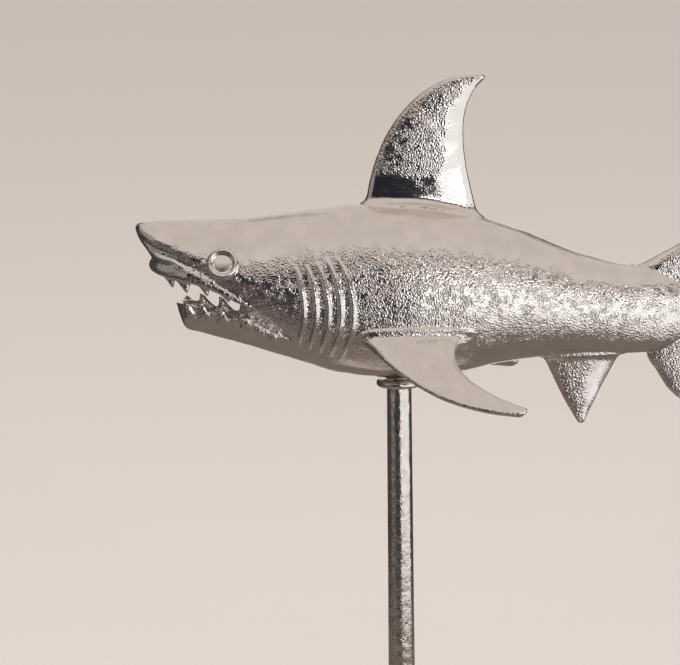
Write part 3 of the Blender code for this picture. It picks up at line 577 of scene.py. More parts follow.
def swept(name, line, sizes, sides):
    """Rod of elliptic section along a line of points, each with its first half axis's way."""
    rings = []
    for i, (point, across) in enumerate(line):
        ahead = line[min(i + 1, len(line) - 1)][0] - line[max(i - 1, 0)][0]
        first = (across - across.project(ahead)).normalized()
        second = ahead.cross(first).normalized()
        rings.append(oval(point, first * sizes[i][0], second * sizes[i][1], sides))
    return loft(name, rings)


def boolean(thing, operation, others):
    """Cuts the others from the thing, or joins them to it, in one step each."""
    for other in others:
        other.hide_render = True
        step = thing.modifiers.new(other.name, "BOOLEAN")
        step.operation = operation
        step.solver = "MANIFOLD"
        step.object = other


def cubic(points, t):
    weights = ((1 - t) ** 3, 3 * t * (1 - t) ** 2, 3 * t * t * (1 - t), t**3)
    return tuple(sum(w * point[axis] for w, point in zip(weights, points)) for axis in (0, 1))


def fin(name, edges, chord, height, halves, place_point, fullness=FIN_FULLNESS):
    """Fin between two edge curves. place_point turns chord, height and thickness to a point."""
    rings = []
    levels = [-1.0] + spaced(0, 1, FIN_LEVELS)
    for share in levels:
        rise = max(share, 0.0)
        sink = FIN_SINK if share < 0 else 0
        ends = [cubic(edge, rise) for edge in edges]
        lead, trail = [(run * chord, lift * height - sink) for run, lift in ends]
        half = halves[0] + (halves[1] - halves[0]) * rise
        near_root = max(0.0, 1 - rise * height / FIN_FILLET)
        flare = FIN_FILLET * (1 - math.sqrt(1 - near_root**2))
        half += flare
        middle = [(a + b) / 2 for a, b in zip(lead, trail)]
        reach = [(b - a) / 2 for a, b in zip(lead, trail)]
        stretch = 1 + flare / math.hypot(*reach)
        ring = []
        for i in range(FIN_SIDES):
            angle = 2 * math.pi * i / FIN_SIDES
            run = round_sign(math.cos(angle), 2 / fullness) * stretch
            thick = round_sign(math.sin(angle), 2 / fullness) * half
            place = (middle[0] + reach[0] * run, middle[1] + reach[1] * run)
            ring.append(place_point(*place, thick))
        rings.append(ring)
    rings.append([sum((Vector(p) for p in rings[-1]), Vector()) / FIN_SIDES])
    tip_out = Vector(rings[-1][0]) - sum((Vector(p) for p in rings[-3]), Vector()) / FIN_SIDES
    rings[-1][0] += tip_out.normalized() * halves[1] * FIN_TIP_ROUNDING
    return loft(name, rings)


def root_share(rise, height):
    """How far a fin follows the body's surface: 1 at its root, 0 higher up."""
    return max(0.0, min(1.0, 1 - rise / (ROOT_FOLLOW * height)))


def median_fin(name, place, line, way, edges, chord, height, halves):
    """Upright fin in the mid-plane, on the body's top line or hanging from its under line."""
    root_x = along(place)
    root_z = level(smooth_line(line, place))

    def place_point(run, rise, thick):
        surface = level(smooth_line(line, place_at(root_x + run)))
        base = root_z + (surface - root_z) * root_share(rise, height)
        return Vector((root_x + run, thick, base + way * rise))

    return fin(name, edges, chord, height, halves, place_point)


def shoulder(rise):
    """How much the pectoral fin's upper face is raised near its root."""
    share = (PECTORAL_SHOULDER_END - rise) / (PECTORAL_SHOULDER_END - PECTORAL_SHOULDER_START)
    share = max(0.0, min(1.0, share))
    return PECTORAL_SHOULDER_HEIGHT * share * share * (3 - 2 * share)


def pectoral_fin(side):
    root_x = along(PECTORAL_PLACE)
    root_y = flank(PECTORAL_PLACE, PECTORAL_LEVEL)
    root_z = level(PECTORAL_LEVEL)
    slope = math.atan2(PECTORAL_DROP, PECTORAL_SPAN)

    def place_point(run, rise, thick):
        surface = flank(place_at(root_x + run), PECTORAL_LEVEL)
        base = root_y + (surface - root_y) * root_share(rise, PECTORAL_SPAN)
        y = base + rise + thick * math.sin(slope)
        z = root_z - rise * PECTORAL_DROP / PECTORAL_SPAN + thick * math.cos(slope)
        if thick > 0:
            z += shoulder(rise)
        return Vector((root_x + run, side * y, z))

    name = sided("pectoral_fin", side)
    halves = (PECTORAL_ROOT_HALF, PECTORAL_TIP_HALF)
    size = (PECTORAL_CHORD, PECTORAL_SPAN)
    return fin(name, PECTORAL_EDGES, *size, halves, place_point, PECTORAL_FULLNESS)


def tail_fin():
    """Both lobes of the tail fin in one crescent, laid up from level slices."""
    low, high = TAIL_FRONT[0][0], TAIL_FRONT[-1][0]
    rings = []
    for height in spaced(low, high, TAIL_LEVELS):
        front = along(smooth_line(TAIL_FRONT, height))
        rear = along(smooth_line(TAIL_REAR, height))
        lobe = high if height > TAIL_THICKEST else low
        out = (height - TAIL_THICKEST) / (lobe - TAIL_THICKEST)
        half = CAUDAL_TIP_HALF + (CAUDAL_ROOT_HALF - CAUDAL_TIP_HALF) * (1 - out) ** TAIL_THINNING
        ring = []
        for i in range(FIN_SIDES):
            angle = 2 * math.pi * i / FIN_SIDES
            x = (front + rear) / 2 + (rear - front) / 2 * math.cos(angle)
            taper = 1 - TAIL_FRONT_BULGE - TAIL_FRONT_BULGE * math.cos(angle)
            ring.append((x, half * taper * math.sin(angle), level(height)))
        rings.append(ring)
    return loft("tail_fin", rings)


def mouth_gap():
    """Cutter of the open mouth's side outline, right through the head."""
    places = spaced(LIP_EDGE[0][0], MOUTH_BACK, MOUTH_LEVELS)
    outline = [(place, smooth_line(LIP_EDGE, place)) for place in places]
    middle = (smooth_line(LIP_EDGE, MOUTH_BACK) + smooth_line(JAW_RIM, MOUTH_BACK)) / 2
    outline.append((MOUTH_BACK + MOUTH_BACK_ROUNDING, middle))
    outline += [(place, smooth_line(JAW_RIM, place)) for place in reversed(places)]
    rings = []
    for across in (-BODY_WIDTH, BODY_WIDTH):
        rings.append([(along(place), across, level(height)) for place, height in outline])
    return loft("mouth_gap", rings)


def mouth_corner(side):
    """Cutter of the shallow web behind the open part of the mouth, on one side."""
    rings = []
    for place in spaced(MOUTH_BACK - WEB_OVERLAP, MOUTH_CORNER, WEB_LEVELS):
        lip, rim = smooth_line(LIP_EDGE, place), smooth_line(JAW_RIM, place)
        inside = min(1.0, (MOUTH_CORNER - place) / (MOUTH_CORNER - MOUTH_BACK))
        fade = WEB_END_SINK + (1 - WEB_END_SINK) * inside
        ring = []
        for height in spaced(lip, rim, WEB_STEPS):
            ring.append(flank_point(place, height, side, -MOUTH_CORNER_SINK * fade)[0])
        for height in spaced(rim, lip, WEB_STEPS):
            ring.append(flank_point(place, height, side, MOUTH_CORNER_SINK)[0])
        rings.append(ring)
    return loft(sided("mouth_corner", side), rings)


def hollow(name, span, edge_line, wall, depth, way):
    """Cutter with a rounded front that sinks from the open mouth into a jaw."""
    rings = []
    for place in spaced(*span, HOLLOW_LEVELS):
        share = (place - span[0]) / (span[1] - span[0])
        opened = min(1.0, HOLLOW_FRONT_START + share * HOLLOW_FRONT_RATE)
        front = math.sqrt(1 - (1 - opened) ** 2)
        edge = smooth_line(edge_line, place)
        across = (flank(place, edge) - wall) * front
        deepest = depth(place) * (HOLLOW_FRONT_DEPTH + (1 - HOLLOW_FRONT_DEPTH) * front)
        ring = []
        for angle in spaced(0, math.pi, HOLLOW_SIDES):
            drop = deepest * round_sign(math.sin(angle), HOLLOW_POWER)
            ring.append((along(place), across * math.cos(angle), level(edge) + way * drop))
        ring.append((along(place), -across, level(edge) - way * HOLLOW_PAST_EDGE))
        ring.append((along(place), across, level(edge) - way * HOLLOW_PAST_EDGE))
        rings.append(ring)
    return loft(name, rings)


def jaw_trough():
    def depth(place):
        thickness = smooth_line(JAW_RIM, place) - smooth_line(UNDER_LINE, place)
        return max(LEAST_HOLLOW, thickness / 100 * BODY_DEPTH - JAW_FLOOR)

    return hollow("jaw_trough", JAW_TROUGH, JAW_RIM, JAW_WALL, depth, -1)


def palate():
    return hollow("palate", PALATE, LIP_EDGE, PALATE_WALL, lambda place: PALATE_RISE, 1)


def snout_groove(side):
    """Cutter that rises clear of the snout at both its ends."""
    line, sizes = [], []
    for place, height, half, share in SNOUT_GROOVE:
        out = SNOUT_GROOVE_HALF - SNOUT_GROOVE_DEPTH * share
        line.append(flank_point(place, height, side, out))
        sizes.append((SNOUT_GROOVE_HALF, half / 100 * BODY_DEPTH))
    return swept(sided("snout_groove", side), line, sizes, RIDGE_SIDES)


def lip_ridge():
    """The upper lip's ridge, in one horseshoe round the front of the mouth."""
    rows = [(place, height, -share, half) for place, height, share, half in reversed(LIP_RIDGE)]
    line, sizes = [], []
    for place, height, share, half in rows + list(LIP_RIDGE[1:]):
        point = Vector((along(place), share / 100 * BODY_WIDTH / 2, level(height)))
        line.append((point, Vector((-1.0, share / LIP_RIDGE_TURN, 0.0)).normalized()))
        sizes.append((LIP_RIDGE_HALF, half / 100 * BODY_DEPTH))
    return swept("lip_ridge", line, sizes, RIDGE_SIDES)


def gum_ridge(side):
    line = [flank_point(place, height, side, -GUM_RIDGE_SINK) for place, height in GUM_RIDGE]
    sizes = [(GUM_RIDGE_HALF * GUM_RIDGE_DEPTH_SHARE, GUM_RIDGE_HALF)] * len(line)
    sizes[-1] = (GUM_RIDGE_HALF * GUM_RIDGE_END_SHARE, GUM_RIDGE_HALF * GUM_RIDGE_END_SHARE)
    return swept(sided("gum_ridge", side), line, sizes, RIDGE_SIDES)


def tooth(name, root, tip, half):
    """Flat blade from inside the gum to a blunt tip, widest along the jaw."""
    rise = tip - root
    jaw_way = Vector((0, 1, 0)).cross(rise).normalized()
    outward = rise.cross(jaw_way).normalized()
    rings = []
    for share in spaced(0, TOOTH_CROWN, TOOTH_LEVELS):
        taper = 1 - share
        wide = TOOTH_TIP_HALF + (half - TOOTH_TIP_HALF) * taper**TOOTH_TAPER
        thick = TOOTH_TIP_HALF + (TOOTH_HALF_THICKNESS - TOOTH_TIP_HALF) * math.sqrt(taper)
        rings.append(oval(root + rise * share, jaw_way * wide, outward * thick, TOOTH_SIDES))
    rings.append([tip])
    return loft(name, rings)


def upper_tooth(number, side):
    place, height, half = UPPER_TEETH[number]
    edge = smooth_line(LIP_EDGE, place)
    across = side * (flank(place, edge) - PALATE_WALL / 2)
    root = Vector((along(place - UPPER_TOOTH_LEAN), across, level(edge) + UPPER_TOOTH_ROOT))
    tip = Vector((along(place), across, level(height)))
    return tooth(f"upper_tooth_{number}_{side}", root, tip, half * MM)


def lower_tooth_ends(number, side):
    """Root and tip of a tooth whose outer face runs down over the jaw, below the rim."""
    place, height, _ = LOWER_TEETH[number]
    tip_across = flank(place, smooth_line(JAW_RIM, place)) - JAW_WALL / 3
    tip = Vector((along(place), side * tip_across, level(height)))
    root_place = place + LOWER_TOOTH_LEAN
    root_height = height - LOWER_TOOTH_REACH / BODY_DEPTH * 100
    root_across = flank(root_place, root_height) - LOWER_TOOTH_SINK
    root = Vector((along(root_place), side * root_across, level(root_height)))
    return root, tip


def lower_tooth(number, side):
    root, tip = lower_tooth_ends(number, side)
    return tooth(f"lower_tooth_{number}_{side}", root, tip, LOWER_TEETH[number][2] * MM)


def teeth():
    made = []
    for side in (-1, 1):
        for row, one in ((UPPER_TEETH, upper_tooth), (LOWER_TEETH, lower_tooth)):
            made += [one(number, side) for number in range(len(row))]
    return made


def eye(side):
    """Ring round a low dome, set on the flank."""
    centre, normal = flank_point(*EYE_PLACE, side)
    tube = EYE_RING_THICKNESS / 2
    outer = EYE_RADIUS - tube
    profile = [(0, -EYE_SINK), (outer, -EYE_SINK), (EYE_RADIUS, -EYE_SINK / 3)]
    for angle in spaced(0, math.pi, RING_LEVELS):
        profile.append((outer + tube * math.cos(angle), EYE_RING_RISE + tube * math.sin(angle)))
    disc = outer - tube
    for share in spaced(DOME_EDGE_SHARE, 0, DOME_LEVELS):
        profile.append((disc * share, EYE_DOME_HEIGHT * (1 - share**2)))
    thing = turned(sided("eye", side), profile, sides=EYE_SIDES)
    thing.rotation_mode = "QUATERNION"
    thing.rotation_quaternion = normal.to_track_quat("Z", "X")
    thing.location = centre
    return thing


def gill_line(number, side):
    """Points down a gill's ridge, each with the flank's normal there."""
    share = number / max(1, GILL_COUNT - 1)
    place, top, bottom, bulge = (a + (b - a) * share for a, b in zip(FIRST_GILL, LAST_GILL))
    line = []
    for down in spaced(0, 1, GILL_LEVELS):
        bow = place + bulge * 4 * down * (1 - down)
        line.append(flank_point(bow, top + (bottom - top) * down, side, -GILL_SINK))
    return line


def gill(number, side):
    sizes = []
    for down in spaced(0, 1, GILL_LEVELS):
        taper = GILL_END_SHARE + (1 - GILL_END_SHARE) * math.sin(math.pi * down) ** 0.5
        sizes.append(((GILL_RIDGE_HEIGHT + GILL_SINK) * taper, GILL_RIDGE_WIDTH / 2 * taper))
    return swept(f"gill_{number}_{side}", gill_line(number, side), sizes, GILL_SIDES)


def gills():
    return [gill(number, side) for side in (-1, 1) for number in range(GILL_COUNT)]


def stud_bore():
    """Cutter of the blind hole that takes the stud's upper end."""
    radius = STUD_RADIUS + BORE_CLEARANCE
    top = STUD_HIGH[2] + BORE_END_ROOM
    bottom = CASTING_SEAT - CUTTER_PAST
    profile = [(0, bottom), (radius, bottom), (radius, top), (0, top + radius / 2)]
    return turned("stud_bore", profile)


def boss():
    top = BELLY + BOSS_SINK
    profile = [(0, CASTING_SEAT), (BOSS_RADIUS, CASTING_SEAT), (BOSS_RADIUS, top), (0, top)]
    return turned("boss", profile)


def rough_casting():
    """Body, jaws, teeth, eyes, gills and fins, joined but with sharp seams."""
    steps = [i / BODY_STATIONS_HEAD for i in range(BODY_STATIONS_HEAD)]
    head = [MOUTH_CORNER * step**HEAD_CROWDING for step in steps]
    trunk = spaced(MOUTH_CORNER, TOP_LINE[-1][0], BODY_STATIONS_TRUNK)
    shark = loft("rough_casting", [body_section(place) for place in head + trunk])
    cutters = [mouth_gap(), jaw_trough(), palate()]
    for side in (-1, 1):
        cutters += [mouth_corner(side), snout_groove(side)]
    boolean(shark, "DIFFERENCE", cutters)
    fins = [median_fin(*row) for row in MEDIAN_FINS]
    fins += [pectoral_fin(-1), pectoral_fin(1), tail_fin()]
    added = [lip_ridge()] + teeth() + [eye(-1), eye(1)] + gills()
    added += [gum_ridge(-1), gum_ridge(1), boss()]
    boolean(shark, "UNION", fins + added)
    boolean(shark, "DIFFERENCE", [stud_bore()])
    return shark


def applied(thing, name):
    """Mesh object of the thing as its modifiers leave it. The thing and its helpers go."""
    graph = bpy.context.evaluated_depsgraph_get()
    mesh = bpy.data.meshes.new_from_object(thing.evaluated_get(graph))
    helpers = [step.object for step in thing.modifiers if step.type == "BOOLEAN"]
    for other in helpers + [thing]:
        bpy.data.objects.remove(other, do_unlink=True)
    made = bpy.data.objects.new(name, mesh)
    bpy.context.scene.collection.objects.link(made)
    return made


def point_rows(mesh, field):
    """Places ("co") or normals ("normal") of a mesh's points, in one row each."""
    rows = np.empty(len(mesh.vertices) * 3)
    mesh.vertices.foreach_get(field, rows)
    return rows.reshape(-1, 3)


def cast_lumps(thing):
    """The casting's slight unevenness, along each point's normal."""
    mesh = thing.data
    places, normals = point_rows(mesh, "co"), point_rows(mesh, "normal")
    moves = np.empty(len(places))
    for i, point in enumerate(places):
        wide = noise.noise(Vector(point) / LUMP_SIZE)
        fine = noise.noise(Vector(point) / DIMPLE_SIZE)
        moves[i] = wide * LUMP_HEIGHT + fine * DIMPLE_HEIGHT
    places += normals * moves[:, None]
    mesh.vertices.foreach_set("co", places.ravel())
    mesh.update()


def eased(values, span, start, end):
    """Smooth step of an array from one value to another over a span."""
    share = np.clip((values - span[0]) / (span[1] - span[0]), 0, 1)
    return start + (end - start) * share * share * (3 - 2 * share)


def nearness(places, points):
    """Distance from each place to the nearest of the points."""
    tree = KDTree(len(points))
    for i, point in enumerate(points):
        tree.insert(point, i)
    tree.balance()
    return np.array([tree.find(place)[2] for place in places])


def fin_wear(places, normals, root, way, span):
    """Grain left on a median fin: little on the half of each face that looks to the tail."""
    half = (span[1] - span[0]) / 2
    off_middle = np.abs(places[:, 0] - sum(span) / 2)
    on_fin = eased(way * (places[:, 2] - root), FIN_ROOT_FADE, 0, 1)
    on_fin *= eased(off_middle, (half, half + FIN_END_FADE), 1, 0)
    return 1 - on_fin * (1 - eased(normals[:, 0], TAIL_FACING, 1, WORN_GRAIN))


def mouth_lines():
    """Points down the lower teeth and along the gums."""
    points = []
    for side in (-1, 1):
        for number in range(len(LOWER_TEETH)):
            root, tip = lower_tooth_ends(number, side)
            points += [root.lerp(tip, share) for share in spaced(*TOOTH_MARKS)]
        for place in spaced(GUM_RIDGE[0][0], GUM_RIDGE[-1][0], GUM_MARKS):
            points.append(flank_point(place, smooth_line(GUM_RIDGE, place), side)[0])
    return points


def crest_points():
    """Points down every gill's ridge."""
    lines = [gill_line(number, side) for side in (-1, 1) for number in range(GILL_COUNT)]
    return [point for line in lines for point, _ in line]


def eye_points():
    return [flank_point(*EYE_PLACE, side)[0] for side in (-1, 1)]


def grain_share(mesh):
    """Share of the grain at each point. Handling has worn the casting's top, its underside, the
    gills' crests, the eyes and parts of the fins."""
    places, normals = point_rows(mesh, "co"), point_rows(mesh, "normal")
    top = eased(normals[:, 2], TOP_FACING, 1, TOP_GRAIN)
    below = eased(normals[:, 2], UNDER_FACING, UNDER_GRAIN, 1)
    crests = eased(nearness(places, crest_points()), CREST_WEAR, WORN_GRAIN, 1)
    eye_edge = (EYE_RADIUS, EYE_RADIUS + EYE_WEAR_FADE)
    eyes = eased(nearness(places, eye_points()), eye_edge, WORN_GRAIN, 1)
    snout = eased(places[:, 0], [along(place) for place in SNOUT_PLACES], SNOUT_GRAIN, 1)
    root = level(smooth_line(TOP_LINE, DORSAL_PLACE))
    span = (along(DORSAL_PLACE), along(DORSAL_PLACE) + DORSAL_REACH * DORSAL_CHORD)
    dorsal = fin_wear(places, normals, root, 1, span)
    rise = places[:, 2] - root
    above_foot = eased(rise, DORSAL_FOOT_TOP, WORN_GRAIN, 1)
    below_foot = eased(rise, DORSAL_FOOT_BOTTOM, 1, WORN_GRAIN)
    off_middle = np.abs(places[:, 0] - sum(span) / 2)
    foot = np.where(off_middle < DORSAL_CHORD, np.maximum(above_foot, below_foot), 1)
    root = level(smooth_line(UNDER_LINE, VENTRAL_PLACE))
    span = (along(VENTRAL_PLACE), along(VENTRAL_PLACE) + VENTRAL_CHORD)
    ventral = fin_wear(places, normals, root, -1, span)
    share = np.minimum.reduce([top, below, crests, eyes, snout, foot, dorsal, ventral])
    return np.maximum(share, eased(nearness(places, mouth_lines()), MOUTH_REACH, 1, 0))


def left_as_cast(mesh):
    """How far each point keeps the dull skin it was cast with: the lower teeth, the gums, the
    rings of the eyes and the gills' crests."""
    places = point_rows(mesh, "co")
    in_mouth = eased(nearness(places, mouth_lines()), MOUTH_REACH, MOUTH_DULLNESS, 0)
    on_crests = eased(nearness(places, crest_points()), CREST_REACH, RIDGE_DULLNESS, 0)
    from_eye = nearness(places, eye_points())
    inner = EYE_RADIUS - EYE_RING_THICKNESS
    on_rings = eased(from_eye, (inner, inner + RING_INNER_FADE), 0, RING_DULLNESS)
    on_rings *= eased(from_eye, (EYE_RADIUS, EYE_RADIUS + RING_OUTER_FADE), 1, 0)
    return np.maximum.reduce([in_mouth, on_crests, on_rings])


def beads():
    """Centre and radius of each small lump that the casting has besides its main forms."""
    made = []
    stray, stray_step = GUM_BEAD_STRAY
    spread, spread_step = GUM_BEAD_SPREAD
    for side in (-1, 1):
        for i, place in enumerate(spaced(GUM_RIDGE[0][0], GUM_RIDGE[-1][0], GUM_BEADS)):
            height = smooth_line(GUM_RIDGE, place) + stray * math.sin(stray_step * i)
            centre, _ = flank_point(place, height, side, GUM_BEAD_OUT)
            made.append((centre, GUM_BEAD_RADIUS * (1 + spread * math.sin(spread_step * i))))
        for number in range(len(LOWER_TEETH)):
            root, tip = lower_tooth_ends(number, side)
            for share, shift, radius in TOOTH_LUMPS:
                centre = root.lerp(tip, share) + Vector((shift * MM, side * TOOTH_LUMP_OUT, 0))
                made.append((centre, radius * MM))
        for place, height, radius in FACE_SPECKS:
            made.append((flank_point(place, height, side)[0], radius * MM))
    for place, radius in TAIL_BUMPS:
        centre = Vector((along(place), 0, level(smooth_line(TOP_LINE, place))))
        made.append((centre, radius * MM))
    return made


def add_beads(thing):
    bm = bmesh.new()
    bm.from_mesh(thing.data)
    for centre, radius in beads():
        place = Matrix.Translation(centre)
        bmesh.ops.create_icosphere(bm, subdivisions=2, radius=radius, matrix=place)
    bm.to_mesh(thing.data)
    bm.free()


def make_casting(material):
    rough = applied(rough_casting(), "rough")
    add_beads(rough)
    skin = rough.modifiers.new("one_skin", "REMESH")
    skin.mode = "VOXEL"
    skin.voxel_size = SURFACE_STEP
    soften = rough.modifiers.new("soften", "SMOOTH")
    soften.factor = SOFTEN_SHARE
    soften.iterations = SOFTEN_STEPS
    skinned = applied(rough, "skinned")
    cast_lumps(skinned)
    thin = skinned.modifiers.new("thin", "DECIMATE")
    triangles = sum(len(face.vertices) - 2 for face in skinned.data.polygons)
    thin.ratio = min(1.0, MOST_TRIANGLES / triangles)
    shark = applied(skinned, "cast_shark")
    for name, share in (("grain_share", grain_share), ("as_cast", left_as_cast)):
        values = share(shark.data).astype(np.float32)
        shark.data.attributes.new(name, "FLOAT", "POINT").data.foreach_set("value", values)
    shark.data.shade_smooth()
    shark.data.materials.clear()
    shark.data.materials.append(material)
    return shark


def make_rod():
    top, foot = ROD_HIGH[2], ROD_LOW[2]
    foot_radius = ROD_HIGH[0]
    chamfer = ROD_EDGE_CHAMFER
    bore = STUD_RADIUS + BORE_CLEARANCE
    profile = [(0, foot + ROD_FOOT_HOLE), (bore, foot + ROD_FOOT_HOLE), (bore, foot)]
    profile += [(foot_radius - chamfer, foot), (foot_radius, foot + chamfer)]
    for share in spaced(0, 1, ROD_STEPS)[1:-1]:
        radius = foot_radius + (ROD_TOP_RADIUS - foot_radius) * share
        profile.append((radius, foot + (top - foot) * share))
    profile += [(ROD_TOP_RADIUS, top - chamfer), (ROD_TOP_RADIUS - chamfer, top)]
    profile += [(bore, top), (bore, STUD_FOOT - BORE_END_ROOM), (0, STUD_FOOT - BORE_END_ROOM)]
    return turned("rod_bar", profile)


def make_collar():
    bottom, top = COLLAR_LOW[2], COLLAR_HIGH[2]
    inner = STUD_RADIUS + BORE_CLEARANCE
    edge = COLLAR_HIGH[0] - COLLAR_EDGE_RADIUS
    profile = [(inner, bottom)]
    for angle in spaced(-math.pi / 2, 0, ROUND_STEPS):
        rise = COLLAR_EDGE_RADIUS * (1 + math.sin(angle))
        profile.append((edge + COLLAR_EDGE_RADIUS * math.cos(angle), bottom + rise))
    for angle in spaced(0, math.pi / 2, ROUND_STEPS):
        drop = COLLAR_EDGE_RADIUS * (1 - math.sin(angle))
        profile.append((edge + COLLAR_EDGE_RADIUS * math.cos(angle), top - drop))
    profile.append((inner, top))
    return turned("collar_flange", profile, hole=True)


def rounded_slab(name, low, high, corner, edge):
    bm = bmesh.new()
    bmesh.ops.create_cube(bm, size=1.0)
    for vert in bm.verts:
        vert.co = Vector(high[k] if vert.co[k] > 0 else low[k] for k in range(3))
    thickness = high[2] - low[2]
    upright = [e for e in bm.edges if abs(e.verts[0].co.z - e.verts[1].co.z) > thickness / 2]
    shape = {"profile": 0.5, "affect": "EDGES"}
    bmesh.ops.bevel(bm, geom=upright, offset=corner, segments=CORNER_SEGMENTS, **shape)
    upper = [e for e in bm.edges if min(v.co.z for v in e.verts) > high[2] - edge / 10]
    bmesh.ops.bevel(bm, geom=upper, offset=edge, segments=EDGE_SEGMENTS, **shape)
    return mesh_object(name, bm)


def new_material(name):
    material = bpy.data.materials.new(name)
    material.use_nodes = True
    return material, material.node_tree, material.node_tree.nodes["Principled BSDF"]


def node(tree, kind, settings=None, **inputs):
    made = tree.nodes.new(kind)
    for key, value in (settings or {}).items():
        setattr(made, key, value)
    for key, value in inputs.items():
        made.inputs[key.replace("_", " ")].default_value = value
    return made


def noise_of(tree, size, detail=2.0, roughness=0.5):
    """Noise over the object's own space, with features of about this size."""
    coords = tree.nodes.get("coords") or node(tree, "ShaderNodeTexCoord", {"name": "coords"})
    made = node(tree, "ShaderNodeTexNoise", Scale=1 / size, Detail=detail, Roughness=roughness)
    tree.links.new(coords.outputs["Object"], made.inputs["Vector"])
    return made.outputs["Fac"]


def ranged(tree, source, span, start, end):
    """Maps a source's values over a span to those from start to end."""
    made = node(tree, "ShaderNodeMapRange", {"clamp": True})
    for key, value in zip(("From Min", "From Max", "To Min", "To Max"), (*span, start, end)):
        made.inputs[key].default_value = value
    tree.links.new(source, made.inputs["Value"])
    return made.outputs["Result"]


def toned(tree, source, one, two):
    """Colour between two tones, by a source from 0 to 1."""
    mix = node(tree, "ShaderNodeMix", {"data_type": "RGBA"})
    mix.inputs[6].default_value = (*one, 1)
    mix.inputs[7].default_value = (*two, 1)
    tree.links.new(source, mix.inputs[0])
    return mix.outputs[2]


def bumped(tree, source, height, below=None):
    made = node(tree, "ShaderNodeBump", Strength=1.0, Distance=height)
    tree.links.new(source, made.inputs["Height"])
    if below:
        tree.links.new(below, made.inputs["Normal"])
    return made.outputs["Normal"]


def plated(name, light, dark, grain_size, grain_height, roughness, worn=False):
    """Plated metal: bright, with a fine grain that breaks up what it reflects."""
    material, tree, shader = new_material(name)
    tone = ranged(tree, noise_of(tree, TONE_SIZE, 3.0), (0.35, 0.7), 0.0, 1.0)
    tree.links.new(toned(tree, tone, light, dark), shader.inputs["Base Color"])
    shader.inputs["Metallic"].default_value = 1.0
    rough = ranged(tree, noise_of(tree, SHEEN_SIZE, 3.0), (0.3, 0.7), *roughness)
    swell = bumped(tree, noise_of(tree, SWELL_SIZE, 1.5), SWELL_HEIGHT)
    grain = bumped(tree, noise_of(tree, grain_size, GRAIN_DETAIL), grain_height, swell)
    patches = ranged(tree, noise_of(tree, WEAR_SIZE, 2.5, 0.6), (0.38, 0.6), LEAST_GRAIN, 1.0)
    if worn:
        dull = node(tree, "ShaderNodeAttribute", {"attribute_name": "as_cast"})
        mixed = node(tree, "ShaderNodeMix", {"data_type": "FLOAT"})
        mixed.inputs[3].default_value = DULL_ROUGHNESS
        tree.links.new(dull.outputs["Fac"], mixed.inputs[0])
        tree.links.new(rough, mixed.inputs[2])
        rough = mixed.outputs[0]
        share = node(tree, "ShaderNodeAttribute", {"attribute_name": "grain_share"})
        left = node(tree, "ShaderNodeMath", {"operation": "MULTIPLY"})
        tree.links.new(share.outputs["Fac"], left.inputs[0])
        tree.links.new(patches, left.inputs[1])
        tree.links.new(share.outputs["Fac"], swell.node.inputs["Strength"])
        patches = left.outputs[0]
    tree.links.new(rough, shader.inputs["Roughness"])
    tree.links.new(patches, grain.node.inputs["Strength"])
    tree.links.new(grain, shader.inputs["Normal"])
    return material


def zinc_steel():
    material, tree, shader = new_material("zinc_steel")
    shader.inputs["Base Color"].default_value = (*STEEL_COLOUR, 1)
    shader.inputs["Metallic"].default_value = 1.0
    rough = ranged(tree, noise_of(tree, 1 * MM), (0.3, 0.7), 0.3, 0.45)
    tree.links.new(rough, shader.inputs["Roughness"])
    return material


def pressed_felt():
    material, tree, shader = new_material("pressed_felt")
    fibres = noise_of(tree, FIBRE_SIZE, 4.0, 0.7)
    tree.links.new(toned(tree, fibres, *FELT_TONES), shader.inputs["Base Color"])
    shader.inputs["Roughness"].default_value = 0.95
    shader.inputs["Sheen Weight"].default_value = 0.4
    tree.links.new(bumped(tree, fibres, FIBRE_HEIGHT), shader.inputs["Normal"])
    return material


def direction(azimuth, elevation):
    """Unit vector from the object; azimuth 0 is the camera's side and 90 is its right."""
    flat = math.cos(math.radians(elevation))
    turn = math.radians(azimuth)
    up = math.sin(math.radians(elevation))
    return Vector((flat * math.sin(turn), -flat * math.cos(turn), up))


def facing(place, target):
    return (target - place).to_track_quat("-Z", "Y").to_matrix().to_4x4()


def soft_light(name, azimuth, elevation, distance, width, height, power, colour, mirrored):
    light = bpy.data.lights.new(name, "AREA")
    light.shape = "RECTANGLE"
    light.size, light.size_y = width, height
    light.energy = power
    light.color = colour
    thing = bpy.data.objects.new(name, light)
    place = VIEW_TARGET + direction(azimuth, elevation) * distance
    thing.matrix_world = Matrix.Translation(place) @ facing(place, VIEW_TARGET)
    thing.visible_glossy = mirrored
    bpy.context.scene.collection.objects.link(thing)


def card(name, rows, stops):
    """Stage card of painted reflection over rows of points."""
    bm = bmesh.new()
    rows = [[bm.verts.new(point) for point in row] for row in rows]
    for one, two in zip(rows, rows[1:]):
        for i in range(len(one) - 1):
            bm.faces.new((one[i], one[i + 1], two[i + 1], two[i]))
    reflection_only(mesh_object(name, bm), stops)


def bent_card(name, azimuths, elevations, distance, stops):
    """Card bent round the object, its painted shade and glow graded from its lower edge to its upper
    one.
    """
    rows = []
    for elevation in spaced(*elevations, CARD_ROWS):
        ways = [direction(azimuth, elevation) for azimuth in spaced(*azimuths, CARD_COLUMNS)]
        rows.append([VIEW_TARGET + way * distance for way in ways])
    card(name, rows, stops)


def floor_card(name, azimuths, radii, tone):
    """Flat card just over the floor, between two circles round the object, that glows with a painted
    reflection.
    """
    rise = Vector((0, 0, FLOOR_CARD_HEIGHT))
    ways = [direction(azimuth, 0) for azimuth in spaced(*azimuths, CARD_COLUMNS)]
    rows = [[way * radius + rise for way in ways] for radius in radii]
    card(name, rows, ((0.0, tone), (1.0, tone)))


